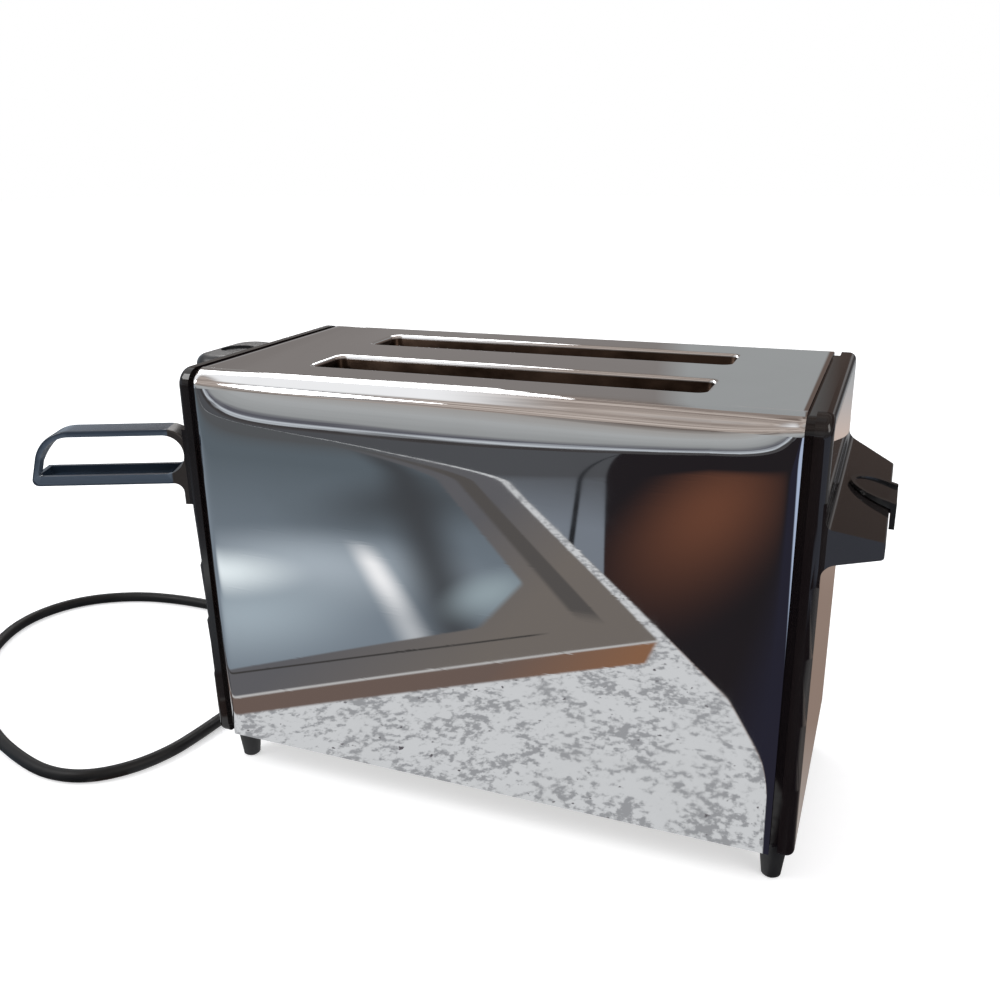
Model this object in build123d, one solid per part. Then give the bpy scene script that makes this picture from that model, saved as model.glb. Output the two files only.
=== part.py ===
from build123d import *
import os
from math import atan2, cos, degrees, hypot, pi, radians, sin, sqrt, tan

# Two-slot toaster: a chrome shell between two black moulded ends, a loop handle and a carriage lever
# on the left, and a ledge with a browning slider on the right. Millimetres, +Z up. X runs along the
# slots, Y from the front face to the back. Shapes are drawn about the middle of the shell, with the
# table at Z = 0, and moved at the end so that the origin is the bottom centre of the whole object.

# Chrome shell
SHELL_LENGTH = 240.0
SHELL_DEPTH = 123.5
SHELL_HEIGHT = 169.5
SHELL_WALL = 0.8
SHOULDER_RADIUS = 7.5
FACE_CROWN = 0.7
HEM_THICKNESS = 2.0
HEM_HEIGHT = 3.0
FOOT_HEIGHT = 17.0

# Bread slots
SLOT_LENGTH = 162.0
SLOT_WIDTH = 23.8
SLOT_SPACING = 52.1
SLOT_CORNER = 3.5
SLOT_SHIFT = 2.2
LIP_WIDTH = 2.4
LIP_DEPTH = 6.0
LIP_ROLL = 1.8

# Moulded end caps and the chrome plates let into them
CAP_THICKNESS = 9.0
CAP_WALL = 2.2
CAP_EDGE_RADIUS = 3.0
GROOVE_WIDTH = 3.0
GROOVE_DEPTH = 1.6
SPIGOT_DEPTH = 6.0
SPIGOT_WALL = 1.8
SPIGOT_FIT = 0.2
PLATE_THICKNESS = 0.8
PLATE_MARGIN = 4.2
PLATE_FIT = 0.15

# Ledge on the right end cap
LEDGE_REACH = 19.3
LEDGE_BOTTOM = 118.4
LEDGE_TIP_TOP = 124.6
LEDGE_ROOT_TOP = 132.0
LEDGE_CORNER_CUT = 14.0
LEDGE_WALL = 2.0
LEDGE_ROOT_FILLET = 4.0

# Browning slider
SLIDER_WIDTH = 24.0
SLIDER_DRAFT = 2.2
SLIDER_INSET = 16.5
SLIDER_RISE_INNER = 1.3
SLIDER_RISE_OUTER = 3.2
SLIDER_LIP_THICKNESS = 2.0
SLIDER_LIP_DROP = 7.1
SLIDER_GAP = 0.4
SLIDER_RIM = 1.4
SLIDER_DISH = 1.0
SLIDER_TRAVEL = 22.0
STEM_WIDTH = 10.0
STEM_THICKNESS = 1.6
STEM_CLEARANCE = 0.3
RAIL_RADIUS = 2.0
RAIL_X = 112.0
RUNNING_FIT = 0.05

# Loop handle at the near corner of the left end cap, turned towards the front. Lengths run along
# the handle from the corner, widths across it from its front side, heights above its underside.
HANDLE_SPLAY = 23.0
HANDLE_REACH = 66.2
HANDLE_HEIGHT = 23.8
HANDLE_LEAN = 6.6
HANDLE_BOTTOM = 120.2
HANDLE_BAR_WIDTH = 18.0
HANDLE_BAR_HEIGHT = 4.4
HANDLE_STRAP_WIDTH = 12.0
HANDLE_STRAP_THICKNESS = 2.5
HANDLE_POST_WIDTH = 4.5
HANDLE_POST_RISE = 6.0
HANDLE_WALL = 2.0
HANDLE_FLOOR = 1.6
HANDLE_SHOULDER_RADIUS = 16.0
HANDLE_TIP_RADIUS = 2.6
HANDLE_ROOT_LENGTH = 6.1
HANDLE_ROOT_FILLET = 4.0
HANDLE_ROOT_RISE = 4.6
HANDLE_PAD_THICKNESS = 1.6
HANDLE_PAD_BOTTOM = 111.0

# Base pan, feet and crumb tray
PAN_THICKNESS = 0.8
PAN_FLANGE = 8.0
PAN_FIT = 0.3
FOOT_TOP_RADIUS = 5.7
FOOT_BOTTOM_RADIUS = 3.7
FOOT_EDGE = 0.7
FOOT_PAD_RADIUS = 6.5
FOOT_INSET = 12.5
FOOT_OUTSET = 0.5
TRAY_LENGTH = 166.0
TRAY_DEPTH = 92.0
TRAY_THICKNESS = 0.8
TRAY_RIM = 2.4
TRAY_OVERLAP = 4.0
TRAY_GRIP_WIDTH = 24.0
TRAY_GRIP_REACH = 5.0
TRAY_HINGE_RADIUS = 1.5
TRAY_KNUCKLE_RADIUS = 2.8
TRAY_KNUCKLE_LENGTH = 14.0

# Inner frame and heaters. A drop is measured down from the shell's top, a rise up from the pan.
BULKHEAD_LEFT = -88.0
BULKHEAD_RIGHT = 92.0
BULKHEAD_THICKNESS = 0.8
BULKHEAD_WIDTH = 110.0
BULKHEAD_DROP = 3.5
CARD_THICKNESS = 1.0
CARD_RISE = 9.2
CARD_DROP = 18.5
CARD_SIDE_OFFSET = 47.0
CARD_TAB = 8.0
RIBBON_WIDTH = 2.0
RIBBON_THICKNESS = 0.3
RIBBON_ROWS = 8
RIBBON_MARGIN = 12.0
GUARD_WIRE_RADIUS = 0.8
GUARD_OFFSET = 1.2
GUARD_WIRES = 7
GUARD_RISE = 5.2
GUARD_DROP = 7.5

# Carriage
RACK_DROP = 74.5
RACK_FLOOR_GAP = 3.2
RACK_HEIGHT = 8.0
RACK_BLADE = 1.2
RACK_FINGER_WIDTH = 13.0
RACK_FINGER_LENGTH = 3.0
RACK_FINGERS = 8
RACK_SLOT_WIDTH = 3.2
ROD_X = -108.0
ROD_RADIUS = 2.5
ROD_DROP = 10.5
ROD_TAB_WIDTH = 16.0
BUSH_WIDTH = 12.0
BUSH_RISE = 6.0
BUSH_HEIGHT = 22.0
BRACKET_X = -101.5
BRACKET_THICKNESS = 1.5
BRACKET_WIDTH = 64.0
BRACKET_FALL = 9.0
ARM_THICKNESS = 1.8
ARM_WIDTH = 4.8
ARM_HEIGHT = 4.0
ARM_DROP = 13.5
ARM_ROOT_WIDTH = 12.0
LEVER_SLOT_WIDTH = 6.0
LEVER_SLOT_MARGIN = 2.0
SPRING_WIRE_RADIUS = 0.5
SPRING_RADIUS = 4.2
SPRING_TURNS = 7

# Lever knob
KNOB_WIDTH = 45.0
KNOB_LENGTH = 24.0
KNOB_HEIGHT = 12.5
KNOB_DROP = 3.0
KNOB_GAP = 1.2
KNOB_CORNER = 11.0
KNOB_EDGE = 4.5
KNOB_DISH_RADIUS = 7.6
KNOB_DISH_DEPTH = 1.2

# Hold magnet, timer and mains terminals
MAGNET_SIZE = (8.5, 18.0, 34.0)
ARMATURE_THICKNESS = 3.0
MAGNET_GAP = 1.0
MAGNET_OFFSET = 12.0
WINDING_THICKNESS = 1.5
WINDING_INSET = 5.0
TIMER_SIZE = (18.0, 40.0, 42.0)
TIMER_BOTTOM = 34.0
TERMINAL_SIZE = (14.0, 14.0, 12.0)
TERMINAL_GAP = 3.0
TERMINAL_SCREW = 2.0

# Screws
SCREW_RADIUS = 1.5
SCREW_HEAD_RADIUS = 2.8
SCREW_HEAD_HEIGHT = 1.6
SCREW_LENGTH = 6.0

# Mains lead. Its points are measured from the shell's left front corner.
CORD_DIAMETER = 6.0
COIL_MEAN_RADIUS = 33.25
COIL_TURNS = 2
COIL_PITCH = 6.5
COIL_LAYER_RISE = 6.5
COIL_CENTRE_X = 25.0
GLAND_BLOCK = (14.0, 16.0)
GLAND_LENGTH = 22.0
GLAND_ROOT_RADIUS = 5.5
GLAND_TIP_RADIUS = 4.0
GLAND_HEIGHT = 10.0
LEAD_ROUTE = [
    (4.0, 69.0, 10.0),
    (-10.0, 60.3, 8.0),
    (-22.0, 48.0, 4.4),
    (-29.5, 32.0, 3.0),
    (-31.0, 14.0, 3.0),
    (-34.0, -5.0, 3.0),
    (-42.5, -22.5, 3.0),
    (-57.0, -35.5, 3.0),
    (-76.0, -39.0, 3.0),
    (-98.0, -34.0, 3.0),
    (-124.0, -24.0, 3.0),
    (-151.0, -7.5, 3.0),
    (-180.0, 18.0, 3.0),
    (-204.0, 49.0, 3.0),
    (-214.0, 83.0, 3.0),
    (-203.0, 114.0, 3.0),
    (-174.0, 133.0, 3.0),
    (-140.0, 138.5, 3.0),
    (-105.0, 137.0, 3.0),
    (-70.0, 138.5, 3.0),
    (-36.0, 142.0, 3.0),
    (-4.0, 143.0, 3.0),
]
TAIL_ROUTE = [
    (50.0, 143.0, 9.5),
    (71.0, 141.0, 5.0),
    (91.0, 138.5, 3.2),
    (107.0, 138.0, 6.4),
    (122.0, 138.0, 6.4),
]
PLUG_LENGTH = 30.0
PLUG_WIDTH = 23.0
PLUG_HEIGHT = 14.0
PLUG_NECK_HALF = 6.0
PLUG_SHOULDER = 9.0
BLADE_LENGTH = 17.0
BLADE_WIDTH = 6.3
BLADE_THICKNESS = 1.5
BLADE_SPACING = 12.7

# Places worked out from the sizes above
BODY_BOTTOM = FOOT_HEIGHT
BODY_TOP = BODY_BOTTOM + SHELL_HEIGHT
HALF_LENGTH = SHELL_LENGTH / 2
HALF_DEPTH = SHELL_DEPTH / 2
END_X = HALF_LENGTH + CAP_THICKNESS
PAN_BOTTOM = BODY_BOTTOM + HEM_HEIGHT
PAN_TOP = PAN_BOTTOM + PAN_THICKNESS
LEDGE_X = END_X + LEDGE_REACH
SLIDER_FRONT_X = LEDGE_X + SLIDER_GAP + SLIDER_LIP_THICKNESS
LEDGE_SLOPE = (LEDGE_ROOT_TOP - LEDGE_TIP_TOP) / LEDGE_REACH
STEM_Z = BODY_BOTTOM + LEDGE_BOTTOM + LEDGE_WALL + STEM_CLEARANCE
SLOT_YS = (-SLOT_SPACING / 2, SLOT_SPACING / 2)
BULKHEAD_TOP = BODY_TOP - BULKHEAD_DROP
CARD_BOTTOM = PAN_TOP + CARD_RISE
CARD_TOP = BODY_TOP - CARD_DROP
GUARD_BOTTOM = PAN_TOP + GUARD_RISE
GUARD_TOP = BODY_TOP - GUARD_DROP
RACK_TOP = BODY_TOP - RACK_DROP
CARRIAGE_TRAVEL = RACK_TOP - RACK_HEIGHT - PAN_TOP - RACK_FLOOR_GAP
ROD_TOP = BODY_TOP - ROD_DROP
BUSH_BOTTOM = RACK_TOP + BUSH_RISE
BRACKET_BOTTOM = RACK_TOP - BRACKET_FALL
ARM_Z = BODY_TOP - ARM_DROP
HANDLE_FRONT = -HALF_DEPTH + 0.4
HANDLE_UNDERSIDE = BODY_BOTTOM + HANDLE_BOTTOM
HANDLE_ON_CAP = HANDLE_BAR_WIDTH / cos(radians(HANDLE_SPLAY))
HANDLE_PLACE = Pos(-END_X, HANDLE_FRONT, HANDLE_UNDERSIDE) * Rot(0, 0, HANDLE_SPLAY)


def block(x0, x1, y0, y1, z0, z1):
    """A box between two corners."""
    return Pos((x0 + x1) / 2, (y0 + y1) / 2, (z0 + z1) / 2) * Box(x1 - x0, y1 - y0, z1 - z0)


def rod_between(start, end, radius, sides=0):
    """A bar between two points, round or with flat sides."""
    axis = Vector(*end) - Vector(*start)
    section = RegularPolygon(radius, sides) if sides else Circle(radius)
    return extrude(Plane(origin=start, z_dir=axis) * section, amount=axis.length)


def body_outline(inset=0.0, bottom=BODY_BOTTOM, bottom_radius=0.0):
    """End-on outline of the body, Y across and Z up, drawn inside the chrome by the inset."""
    half = HALF_DEPTH - inset
    top = BODY_TOP - inset
    middle = (BODY_BOTTOM + BODY_TOP) / 2
    edge = half - FACE_CROWN
    left = ThreePointArc((-edge, bottom), (-half, middle), (-edge, top))
    right = ThreePointArc((edge, top), (half, middle), (edge, bottom))
    face = make_face([Line((edge, bottom), (-edge, bottom)), left, Line((-edge, top), (edge, top)), right])
    tops = face.vertices().sort_by(Axis.Y)[-2:]
    face = fillet(tops, max(SHOULDER_RADIUS - inset, 1.0))
    if bottom_radius > 0:
        face = fillet(face.vertices().sort_by(Axis.Y)[:2], bottom_radius)
    return face


def along_x(face, x0, x1):
    """Extrude an end-on outline from x0 to x1."""
    return extrude(Plane.YZ.offset(x0) * face, amount=x1 - x0, dir=(1, 0, 0))


def along_y(face, y0, y1):
    """Extrude a side view, X across and Z up, from y0 to y1."""
    return extrude(Plane.XZ.offset(-y0) * face, amount=y1 - y0, dir=(0, 1, 0))


def rounded_polygon(points, radii):
    """Closed outline whose corners have their own radii."""
    face = make_face(Polyline(*points, close=True))
    for point, radius in zip(points, radii):
        if radius > 0:
            corner = face.vertices().sort_by_distance((*point, 0))[0]
            face = fillet(corner, radius)
    return face


def slot_plan(grow=0.0):
    """Rounded plan of a bread slot, grown on every side."""
    return RectangleRounded(SLOT_LENGTH + 2 * grow, SLOT_WIDTH + 2 * grow, SLOT_CORNER + grow)


def chrome_shell():
    """One bent sheet over the top and both long sides, with rolled slot lips and hems."""
    shell = along_x(body_outline(), -HALF_LENGTH, HALF_LENGTH)
    shell -= along_x(body_outline(SHELL_WALL, BODY_BOTTOM - 1), -HALF_LENGTH - 1, HALF_LENGTH + 1)
    edge = HALF_DEPTH - FACE_CROWN
    for side in (-1, 1):
        hem = Rectangle(HEM_THICKNESS, HEM_HEIGHT)
        hem = fillet(hem.vertices().sort_by(Axis.Y)[:2], HEM_THICKNESS * 0.45)
        place = Pos(side * (edge - HEM_THICKNESS / 2), BODY_BOTTOM + HEM_HEIGHT / 2)
        shell += along_x(place * hem, -HALF_LENGTH, HALF_LENGTH)
    for slot_y in SLOT_YS:
        place = Pos(SLOT_SHIFT, slot_y, BODY_TOP - LIP_DEPTH)
        shell += place * extrude(slot_plan(LIP_WIDTH), amount=LIP_DEPTH)
        shell -= place * Pos(0, 0, -1) * extrude(slot_plan(), amount=LIP_DEPTH + 2)
    rims = [
        edge
        for edge in shell.edges().filter_by_position(Axis.Z, BODY_TOP - 0.01, BODY_TOP + 0.01)
        if abs(edge.center().X - SLOT_SHIFT) < SLOT_LENGTH / 2 + 1 and abs(edge.center().Y) < HALF_DEPTH * 0.7
    ]
    return fillet(rims, LIP_ROLL)


def cap_blank():
    """Right-hand moulded end: a hollow cup with a shadow groove and a spigot inside the shell."""
    cap = along_x(body_outline(bottom_radius=CAP_EDGE_RADIUS), HALF_LENGTH + GROOVE_WIDTH, END_X)
    cap = fillet(cap.faces().sort_by(Axis.X)[-1].edges(), CAP_EDGE_RADIUS)
    groove = body_outline(GROOVE_DEPTH, BODY_BOTTOM + GROOVE_DEPTH, CAP_EDGE_RADIUS)
    cap += along_x(groove, HALF_LENGTH, HALF_LENGTH + GROOVE_WIDTH)
    spigot_inset = SHELL_WALL + SPIGOT_FIT
    spigot = body_outline(spigot_inset, PAN_TOP)
    cap += along_x(spigot, HALF_LENGTH - SPIGOT_DEPTH, HALF_LENGTH)
    hollow = body_outline(spigot_inset + SPIGOT_WALL, PAN_TOP + SPIGOT_WALL)
    cap -= along_x(hollow, HALF_LENGTH - SPIGOT_DEPTH - 1, END_X - CAP_WALL)
    for side in (-1, 1):
        pad = Pos(HALF_LENGTH + FOOT_OUTSET, side * (HALF_DEPTH - FOOT_INSET), BODY_BOTTOM)
        cap += pad * extrude(Circle(FOOT_PAD_RADIUS), amount=PAN_BOTTOM - BODY_BOTTOM)
    return cap


def plate_outline(fit=0.0):
    """End-on outline of a full chrome end plate."""
    return body_outline(PLATE_MARGIN + fit, BODY_BOTTOM + PLATE_MARGIN + fit, CAP_EDGE_RADIUS)


def lever_slot(margin, x0, x1):
    """Upright slot that the carriage lever's arm runs in."""
    half = LEVER_SLOT_WIDTH / 2 + margin
    low = ARM_Z - CARRIAGE_TRAVEL - LEVER_SLOT_MARGIN - margin
    high = ARM_Z + ARM_HEIGHT + LEVER_SLOT_MARGIN + margin
    return block(x0, x1, -half, half, low, high)


def left_end_cap():
    cap = mirror(cap_blank(), about=Plane.YZ)
    cap -= along_x(plate_outline(), -END_X - 1, -END_X + PLATE_THICKNESS)
    cap -= lever_slot(0, -END_X - 1, -END_X + CAP_WALL + 1)
    pad = block(
        -END_X,
        -END_X + CAP_EDGE_RADIUS + 0.2,
        HANDLE_FRONT,
        HANDLE_FRONT + HANDLE_ON_CAP,
        BODY_BOTTOM + HANDLE_PAD_BOTTOM,
        HANDLE_UNDERSIDE + HANDLE_HEIGHT,
    )
    places = handle_screw_places()
    return cap + pad - [rod_between((-END_X - 1, y, z), (-END_X + 6, y, z), SCREW_RADIUS) for y, z in places]


def left_end_plate():
    plate = along_x(plate_outline(PLATE_FIT), -END_X, -END_X + PLATE_THICKNESS)
    plate -= lever_slot(0.5, -END_X - 1, -END_X + PLATE_THICKNESS + 1)
    return plate - block(
        -END_X - 1,
        -END_X + PLATE_THICKNESS + 1,
        -HALF_DEPTH,
        HANDLE_FRONT + HANDLE_ON_CAP + PLATE_FIT,
        BODY_BOTTOM + HANDLE_PAD_BOTTOM - PLATE_FIT,
        HANDLE_UNDERSIDE + HANDLE_HEIGHT + PLATE_FIT,
    )


def ledge_profile(x_root, wall=0.0):
    """Side view of the ledge, X across and Z up, drawn inside its skin by the wall."""
    tip = LEDGE_X - wall
    skin = wall * sqrt(1 + LEDGE_SLOPE**2)
    tip_top = BODY_BOTTOM + LEDGE_TIP_TOP + LEDGE_SLOPE * wall - skin
    root_top = tip_top + LEDGE_SLOPE * (tip - x_root)
    low = BODY_BOTTOM + LEDGE_BOTTOM + wall
    return make_face(Polyline((x_root, low), (tip, low), (tip, tip_top), (x_root, root_top), close=True))


def ledge_side():
    """Side view of the ledge on its piece of end wall, with coved roots."""
    root = END_X - CAP_WALL
    low = BODY_BOTTOM + LEDGE_BOTTOM
    high = BODY_BOTTOM + LEDGE_ROOT_TOP
    reach = 2 * LEDGE_ROOT_FILLET
    wall = Pos(END_X - CAP_WALL / 2, (low + high) / 2) * Rectangle(CAP_WALL, high - low + 2 * reach)
    side = ledge_profile(root) + wall
    roots = [side.vertices().sort_by_distance((END_X, z, 0))[0] for z in (low, high)]
    side = fillet(roots, LEDGE_ROOT_FILLET)
    tips = side.vertices().sort_by(Axis.X)[-2:]
    return fillet(tips, 1.0)


def ledge_plan(x_root, inset=0.0):
    """Top view of the ledge: its ends are cut back towards the tip."""
    half = HALF_DEPTH - 1.0 - inset
    tip_half = HALF_DEPTH - LEDGE_CORNER_CUT - inset
    cut_start = END_X + 1
    corners = [(x_root, -half), (cut_start, -half), (LEDGE_X + 1, -tip_half), (LEDGE_X + 1, tip_half)]
    return make_face(Polyline(*corners, (cut_start, half), (x_root, half), close=True))


def right_end_cap():
    """Right end with the ledge that carries the browning slider, hollow from the inside."""
    root = END_X - CAP_WALL
    ledge = along_y(ledge_side(), -SHELL_DEPTH, SHELL_DEPTH) & extrude(ledge_plan(root), amount=BODY_TOP)
    hollow = along_y(ledge_profile(root - 1, LEDGE_WALL), -SHELL_DEPTH, SHELL_DEPTH)
    hollow &= extrude(ledge_plan(root - 1, LEDGE_WALL), amount=BODY_TOP)
    cap = cap_blank() + ledge - hollow
    window = SLIDER_TRAVEL + STEM_WIDTH / 2 + STEM_CLEARANCE * 4
    slot_low = STEM_Z - STEM_CLEARANCE
    slot_high = STEM_Z + STEM_THICKNESS + STEM_CLEARANCE
    cap -= block(root - 1, LEDGE_X + 1, -window, window, slot_low, slot_high)
    cap -= along_x(right_plate_area(0.0), END_X - PLATE_THICKNESS, END_X + 1)
    return cap


def right_plate_area(fit):
    """Outlines of the two right-hand plates, above and below the ledge."""
    clear = LEDGE_ROOT_FILLET + 0.4 + fit
    low = BODY_BOTTOM + LEDGE_BOTTOM - clear
    high = BODY_BOTTOM + LEDGE_ROOT_TOP + clear
    band = Pos(0, (low + high) / 2) * Rectangle(SHELL_DEPTH * 2, high - low)
    return plate_outline(fit) - band


def right_end_plate(upper):
    plates = along_x(right_plate_area(PLATE_FIT), END_X - PLATE_THICKNESS, END_X)
    return plates.solids().sort_by(Axis.Z)[-1 if upper else 0]


def handle_end(height, inset=0.0):
    """Distance along the handle to its leaning outer end at a height, drawn in by the inset."""
    return HANDLE_REACH - HANDLE_LEAN * height / HANDLE_HEIGHT - inset


def side_view(points, radii):
    """Outline in the handle's own side view, from points given as length and height."""
    return rounded_polygon([(-length, height) for length, height in points], radii)


def handle_outer():
    """Side view of the whole loop, run on past the corner into the end cap."""
    inside = -HANDLE_BAR_WIDTH * 0.7
    web_top = HANDLE_HEIGHT * 0.6
    web_bottom = BODY_BOTTOM + HANDLE_PAD_BOTTOM - HANDLE_UNDERSIDE
    points = [
        (inside, web_top),
        (-HANDLE_WALL, web_top),
        (-HANDLE_WALL, HANDLE_HEIGHT),
        (handle_end(HANDLE_HEIGHT), HANDLE_HEIGHT),
        (handle_end(0), 0),
        (HANDLE_ROOT_LENGTH / 3, 0),
        (HANDLE_ROOT_LENGTH / 3, web_bottom),
        (inside, web_bottom),
    ]
    crown = (HANDLE_HEIGHT - web_top) * 0.98
    radii = [0, 0, crown, HANDLE_SHOULDER_RADIUS, HANDLE_TIP_RADIUS, HANDLE_ROOT_FILLET, 0, 0]
    return side_view(points, radii)


def handle_opening():
    """Side view of the finger opening between the strap and the lower bar."""
    low = HANDLE_BAR_HEIGHT
    high = HANDLE_HEIGHT - HANDLE_STRAP_THICKNESS
    wall = HANDLE_STRAP_THICKNESS * hypot(HANDLE_LEAN, HANDLE_HEIGHT) / HANDLE_HEIGHT
    points = [(0.2, low), (0.2, high), (handle_end(high, wall), high), (handle_end(low, wall), low)]
    round_end = (high - low) * 0.495
    return side_view(points, [round_end, round_end, HANDLE_SHOULDER_RADIUS - HANDLE_STRAP_THICKNESS, 1.0])


def handle_strap_cuts():
    """What is cut from behind the loop: beside the strap, and beside the thin post at its outer end."""
    low = HANDLE_BAR_HEIGHT
    high = HANDLE_HEIGHT + 1
    far = HANDLE_REACH + 1
    rise = low + HANDLE_ROOT_RISE
    root = HANDLE_ROOT_LENGTH
    beside = side_view(
        [(root + 2, low), (far, low), (far, high)]
        + [(-HANDLE_BAR_WIDTH, high), (-HANDLE_BAR_WIDTH, rise), (0, rise)],
        [root / 2, 0, 0, 0, 0, root / 2],
    )
    cuts = along_y(beside, HANDLE_STRAP_WIDTH, HANDLE_BAR_WIDTH + 1)
    strap_low = HANDLE_HEIGHT - 2 * HANDLE_STRAP_THICKNESS
    post = Polyline(
        (HANDLE_POST_WIDTH, low),
        (HANDLE_POST_WIDTH, low + HANDLE_POST_RISE),
        (HANDLE_STRAP_WIDTH, strap_low),
        (HANDLE_BAR_WIDTH + 1, strap_low),
        (HANDLE_BAR_WIDTH + 1, low),
        close=True,
    )
    return cuts + along_x(make_face(post), -far, -HANDLE_REACH / 2)


def side_handle():
    """Loop handle: a thin strap over an upward-open channel, on a pad flush with the front edge."""
    loop = along_y(handle_outer(), 0, HANDLE_BAR_WIDTH)
    front = loop.faces().sort_by(Axis.Y)[0]
    loop = fillet(front.edges().filter_by(lambda e: e.center().X < -HANDLE_ROOT_LENGTH), 0.8)
    loop -= along_y(handle_opening(), -1, HANDLE_BAR_WIDTH + 1)
    loop -= handle_strap_cuts()
    channel = (-handle_end(HANDLE_BAR_HEIGHT, HANDLE_WALL), -HANDLE_ROOT_LENGTH)
    loop -= block(*channel, HANDLE_WALL, HANDLE_BAR_WIDTH - HANDLE_WALL, HANDLE_FLOOR, HANDLE_BAR_HEIGHT + 1)
    loop = HANDLE_PLACE * loop
    loop -= block(-END_X, 0, -SHELL_DEPTH, SHELL_DEPTH, 0, BODY_TOP)
    pad = block(
        -END_X - HANDLE_PAD_THICKNESS,
        -END_X,
        HANDLE_FRONT,
        HANDLE_FRONT + HANDLE_ON_CAP,
        BODY_BOTTOM + HANDLE_PAD_BOTTOM,
        HANDLE_UNDERSIDE + HANDLE_BAR_HEIGHT,
    )
    places = handle_screw_places()
    holes = [rod_between((-END_X - 4.5, y, z), (-END_X + 1, y, z), SCREW_RADIUS) for y, z in places]
    return loop + pad - holes


def handle_screw_places():
    """Where the screws come out through the end cap into the handle's root."""
    first = HANDLE_FRONT + 2.6 * SCREW_HEAD_RADIUS
    height = HANDLE_UNDERSIDE + HANDLE_BAR_HEIGHT / 2
    return [(first, height), (first + 2.6 * SCREW_HEAD_RADIUS, height)]


def handle_screws():
    screws = []
    inner = -END_X + CAP_EDGE_RADIUS + 0.2
    for y, z in handle_screw_places():
        shank = rod_between((-END_X - 4, y, z), (inner, y, z), SCREW_RADIUS)
        head = rod_between((inner, y, z), (inner + SCREW_HEAD_HEIGHT, y, z), SCREW_HEAD_RADIUS)
        screws.append(shank + head)
    return Compound(screws)


def screw_places():
    """Where the screws go up through the pan into the end caps."""
    x = HALF_LENGTH - SPIGOT_DEPTH / 2
    return [(side * x, end * HALF_DEPTH / 2) for side in (-1, 1) for end in (-1, 1)]


def screw_holes():
    """Clearance holes for the pan's screws."""
    hole = extrude(Circle(SCREW_RADIUS + RUNNING_FIT), amount=SPIGOT_WALL + 4)
    return Part() + [Pos(x, y, PAN_BOTTOM - 1) * hole for x, y in screw_places()]


def pan_screws():
    shank = Pos(0, 0, PAN_BOTTOM) * extrude(Circle(SCREW_RADIUS), amount=SCREW_LENGTH)
    head = extrude(Circle(SCREW_HEAD_RADIUS), amount=SCREW_HEAD_HEIGHT)
    head = Pos(0, 0, PAN_BOTTOM - SCREW_HEAD_HEIGHT) * head
    return Compound([Pos(x, y, 0) * (shank + head) for x, y in screw_places()])


def foot(x, y):
    """Tapered rubber foot under an end cap's pad."""
    plane = Plane((x, y, 0))
    taper = loft([plane * Circle(FOOT_BOTTOM_RADIUS), plane.offset(FOOT_HEIGHT) * Circle(FOOT_TOP_RADIUS)])
    return chamfer(taper.edges().sort_by(Axis.Z)[0], FOOT_EDGE)


TRAY_PIN_Y = TRAY_DEPTH / 2 + TRAY_KNUCKLE_RADIUS / 2
TRAY_PIN_Z = PAN_BOTTOM - TRAY_KNUCKLE_RADIUS - PAN_FIT
TRAY_ENDS = (SLOT_SHIFT - TRAY_LENGTH / 2, SLOT_SHIFT + TRAY_LENGTH / 2)


def hinge_knuckles(starts, web_top):
    """Knuckles along the tray's hinge pin, each with a web up to the sheet that carries it."""
    knuckles = Part()
    for start in starts:
        end = start + TRAY_KNUCKLE_LENGTH
        tube_start = (start, TRAY_PIN_Y, TRAY_PIN_Z)
        tube_end = (end, TRAY_PIN_Y, TRAY_PIN_Z)
        tube = rod_between(tube_start, tube_end, TRAY_KNUCKLE_RADIUS)
        web_bottom = TRAY_PIN_Z + TRAY_HINGE_RADIUS + 0.3
        knuckles += tube + block(start, end, TRAY_PIN_Y - 1, TRAY_PIN_Y + 1, web_bottom, web_top)
    bore_start = (TRAY_ENDS[0] - 1, TRAY_PIN_Y, TRAY_PIN_Z)
    bore_end = (TRAY_ENDS[1] + 1, TRAY_PIN_Y, TRAY_PIN_Z)
    return knuckles, rod_between(bore_start, bore_end, TRAY_HINGE_RADIUS + RUNNING_FIT)


def base_pan():
    """Folded steel pan on the shell's hems, with the crumb opening and its hinge knuckles."""
    half = HALF_DEPTH - FACE_CROWN - SHELL_WALL - PAN_FIT
    flange_x = HALF_LENGTH - SPIGOT_DEPTH - PAN_FIT
    pan = block(-HALF_LENGTH, HALF_LENGTH, -half, half, PAN_BOTTOM, PAN_TOP)
    for side in (-1, 1):
        inner, outer = sorted((side * half, side * (half - PAN_THICKNESS)))
        pan += block(-flange_x, flange_x, inner, outer, PAN_BOTTOM, PAN_BOTTOM + PAN_FLANGE)
    opening_y = TRAY_DEPTH / 2 - TRAY_OVERLAP
    opening_x = TRAY_LENGTH / 2 - TRAY_OVERLAP
    pan -= block(
        SLOT_SHIFT - opening_x,
        SLOT_SHIFT + opening_x,
        -opening_y,
        opening_y,
        PAN_BOTTOM - 1,
        PAN_TOP + 1,
    )
    starts = (TRAY_ENDS[0] + 4, TRAY_ENDS[1] - 4 - TRAY_KNUCKLE_LENGTH)
    knuckles, bore = hinge_knuckles(starts, PAN_BOTTOM)
    return pan + (knuckles - bore) - screw_holes()


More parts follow.
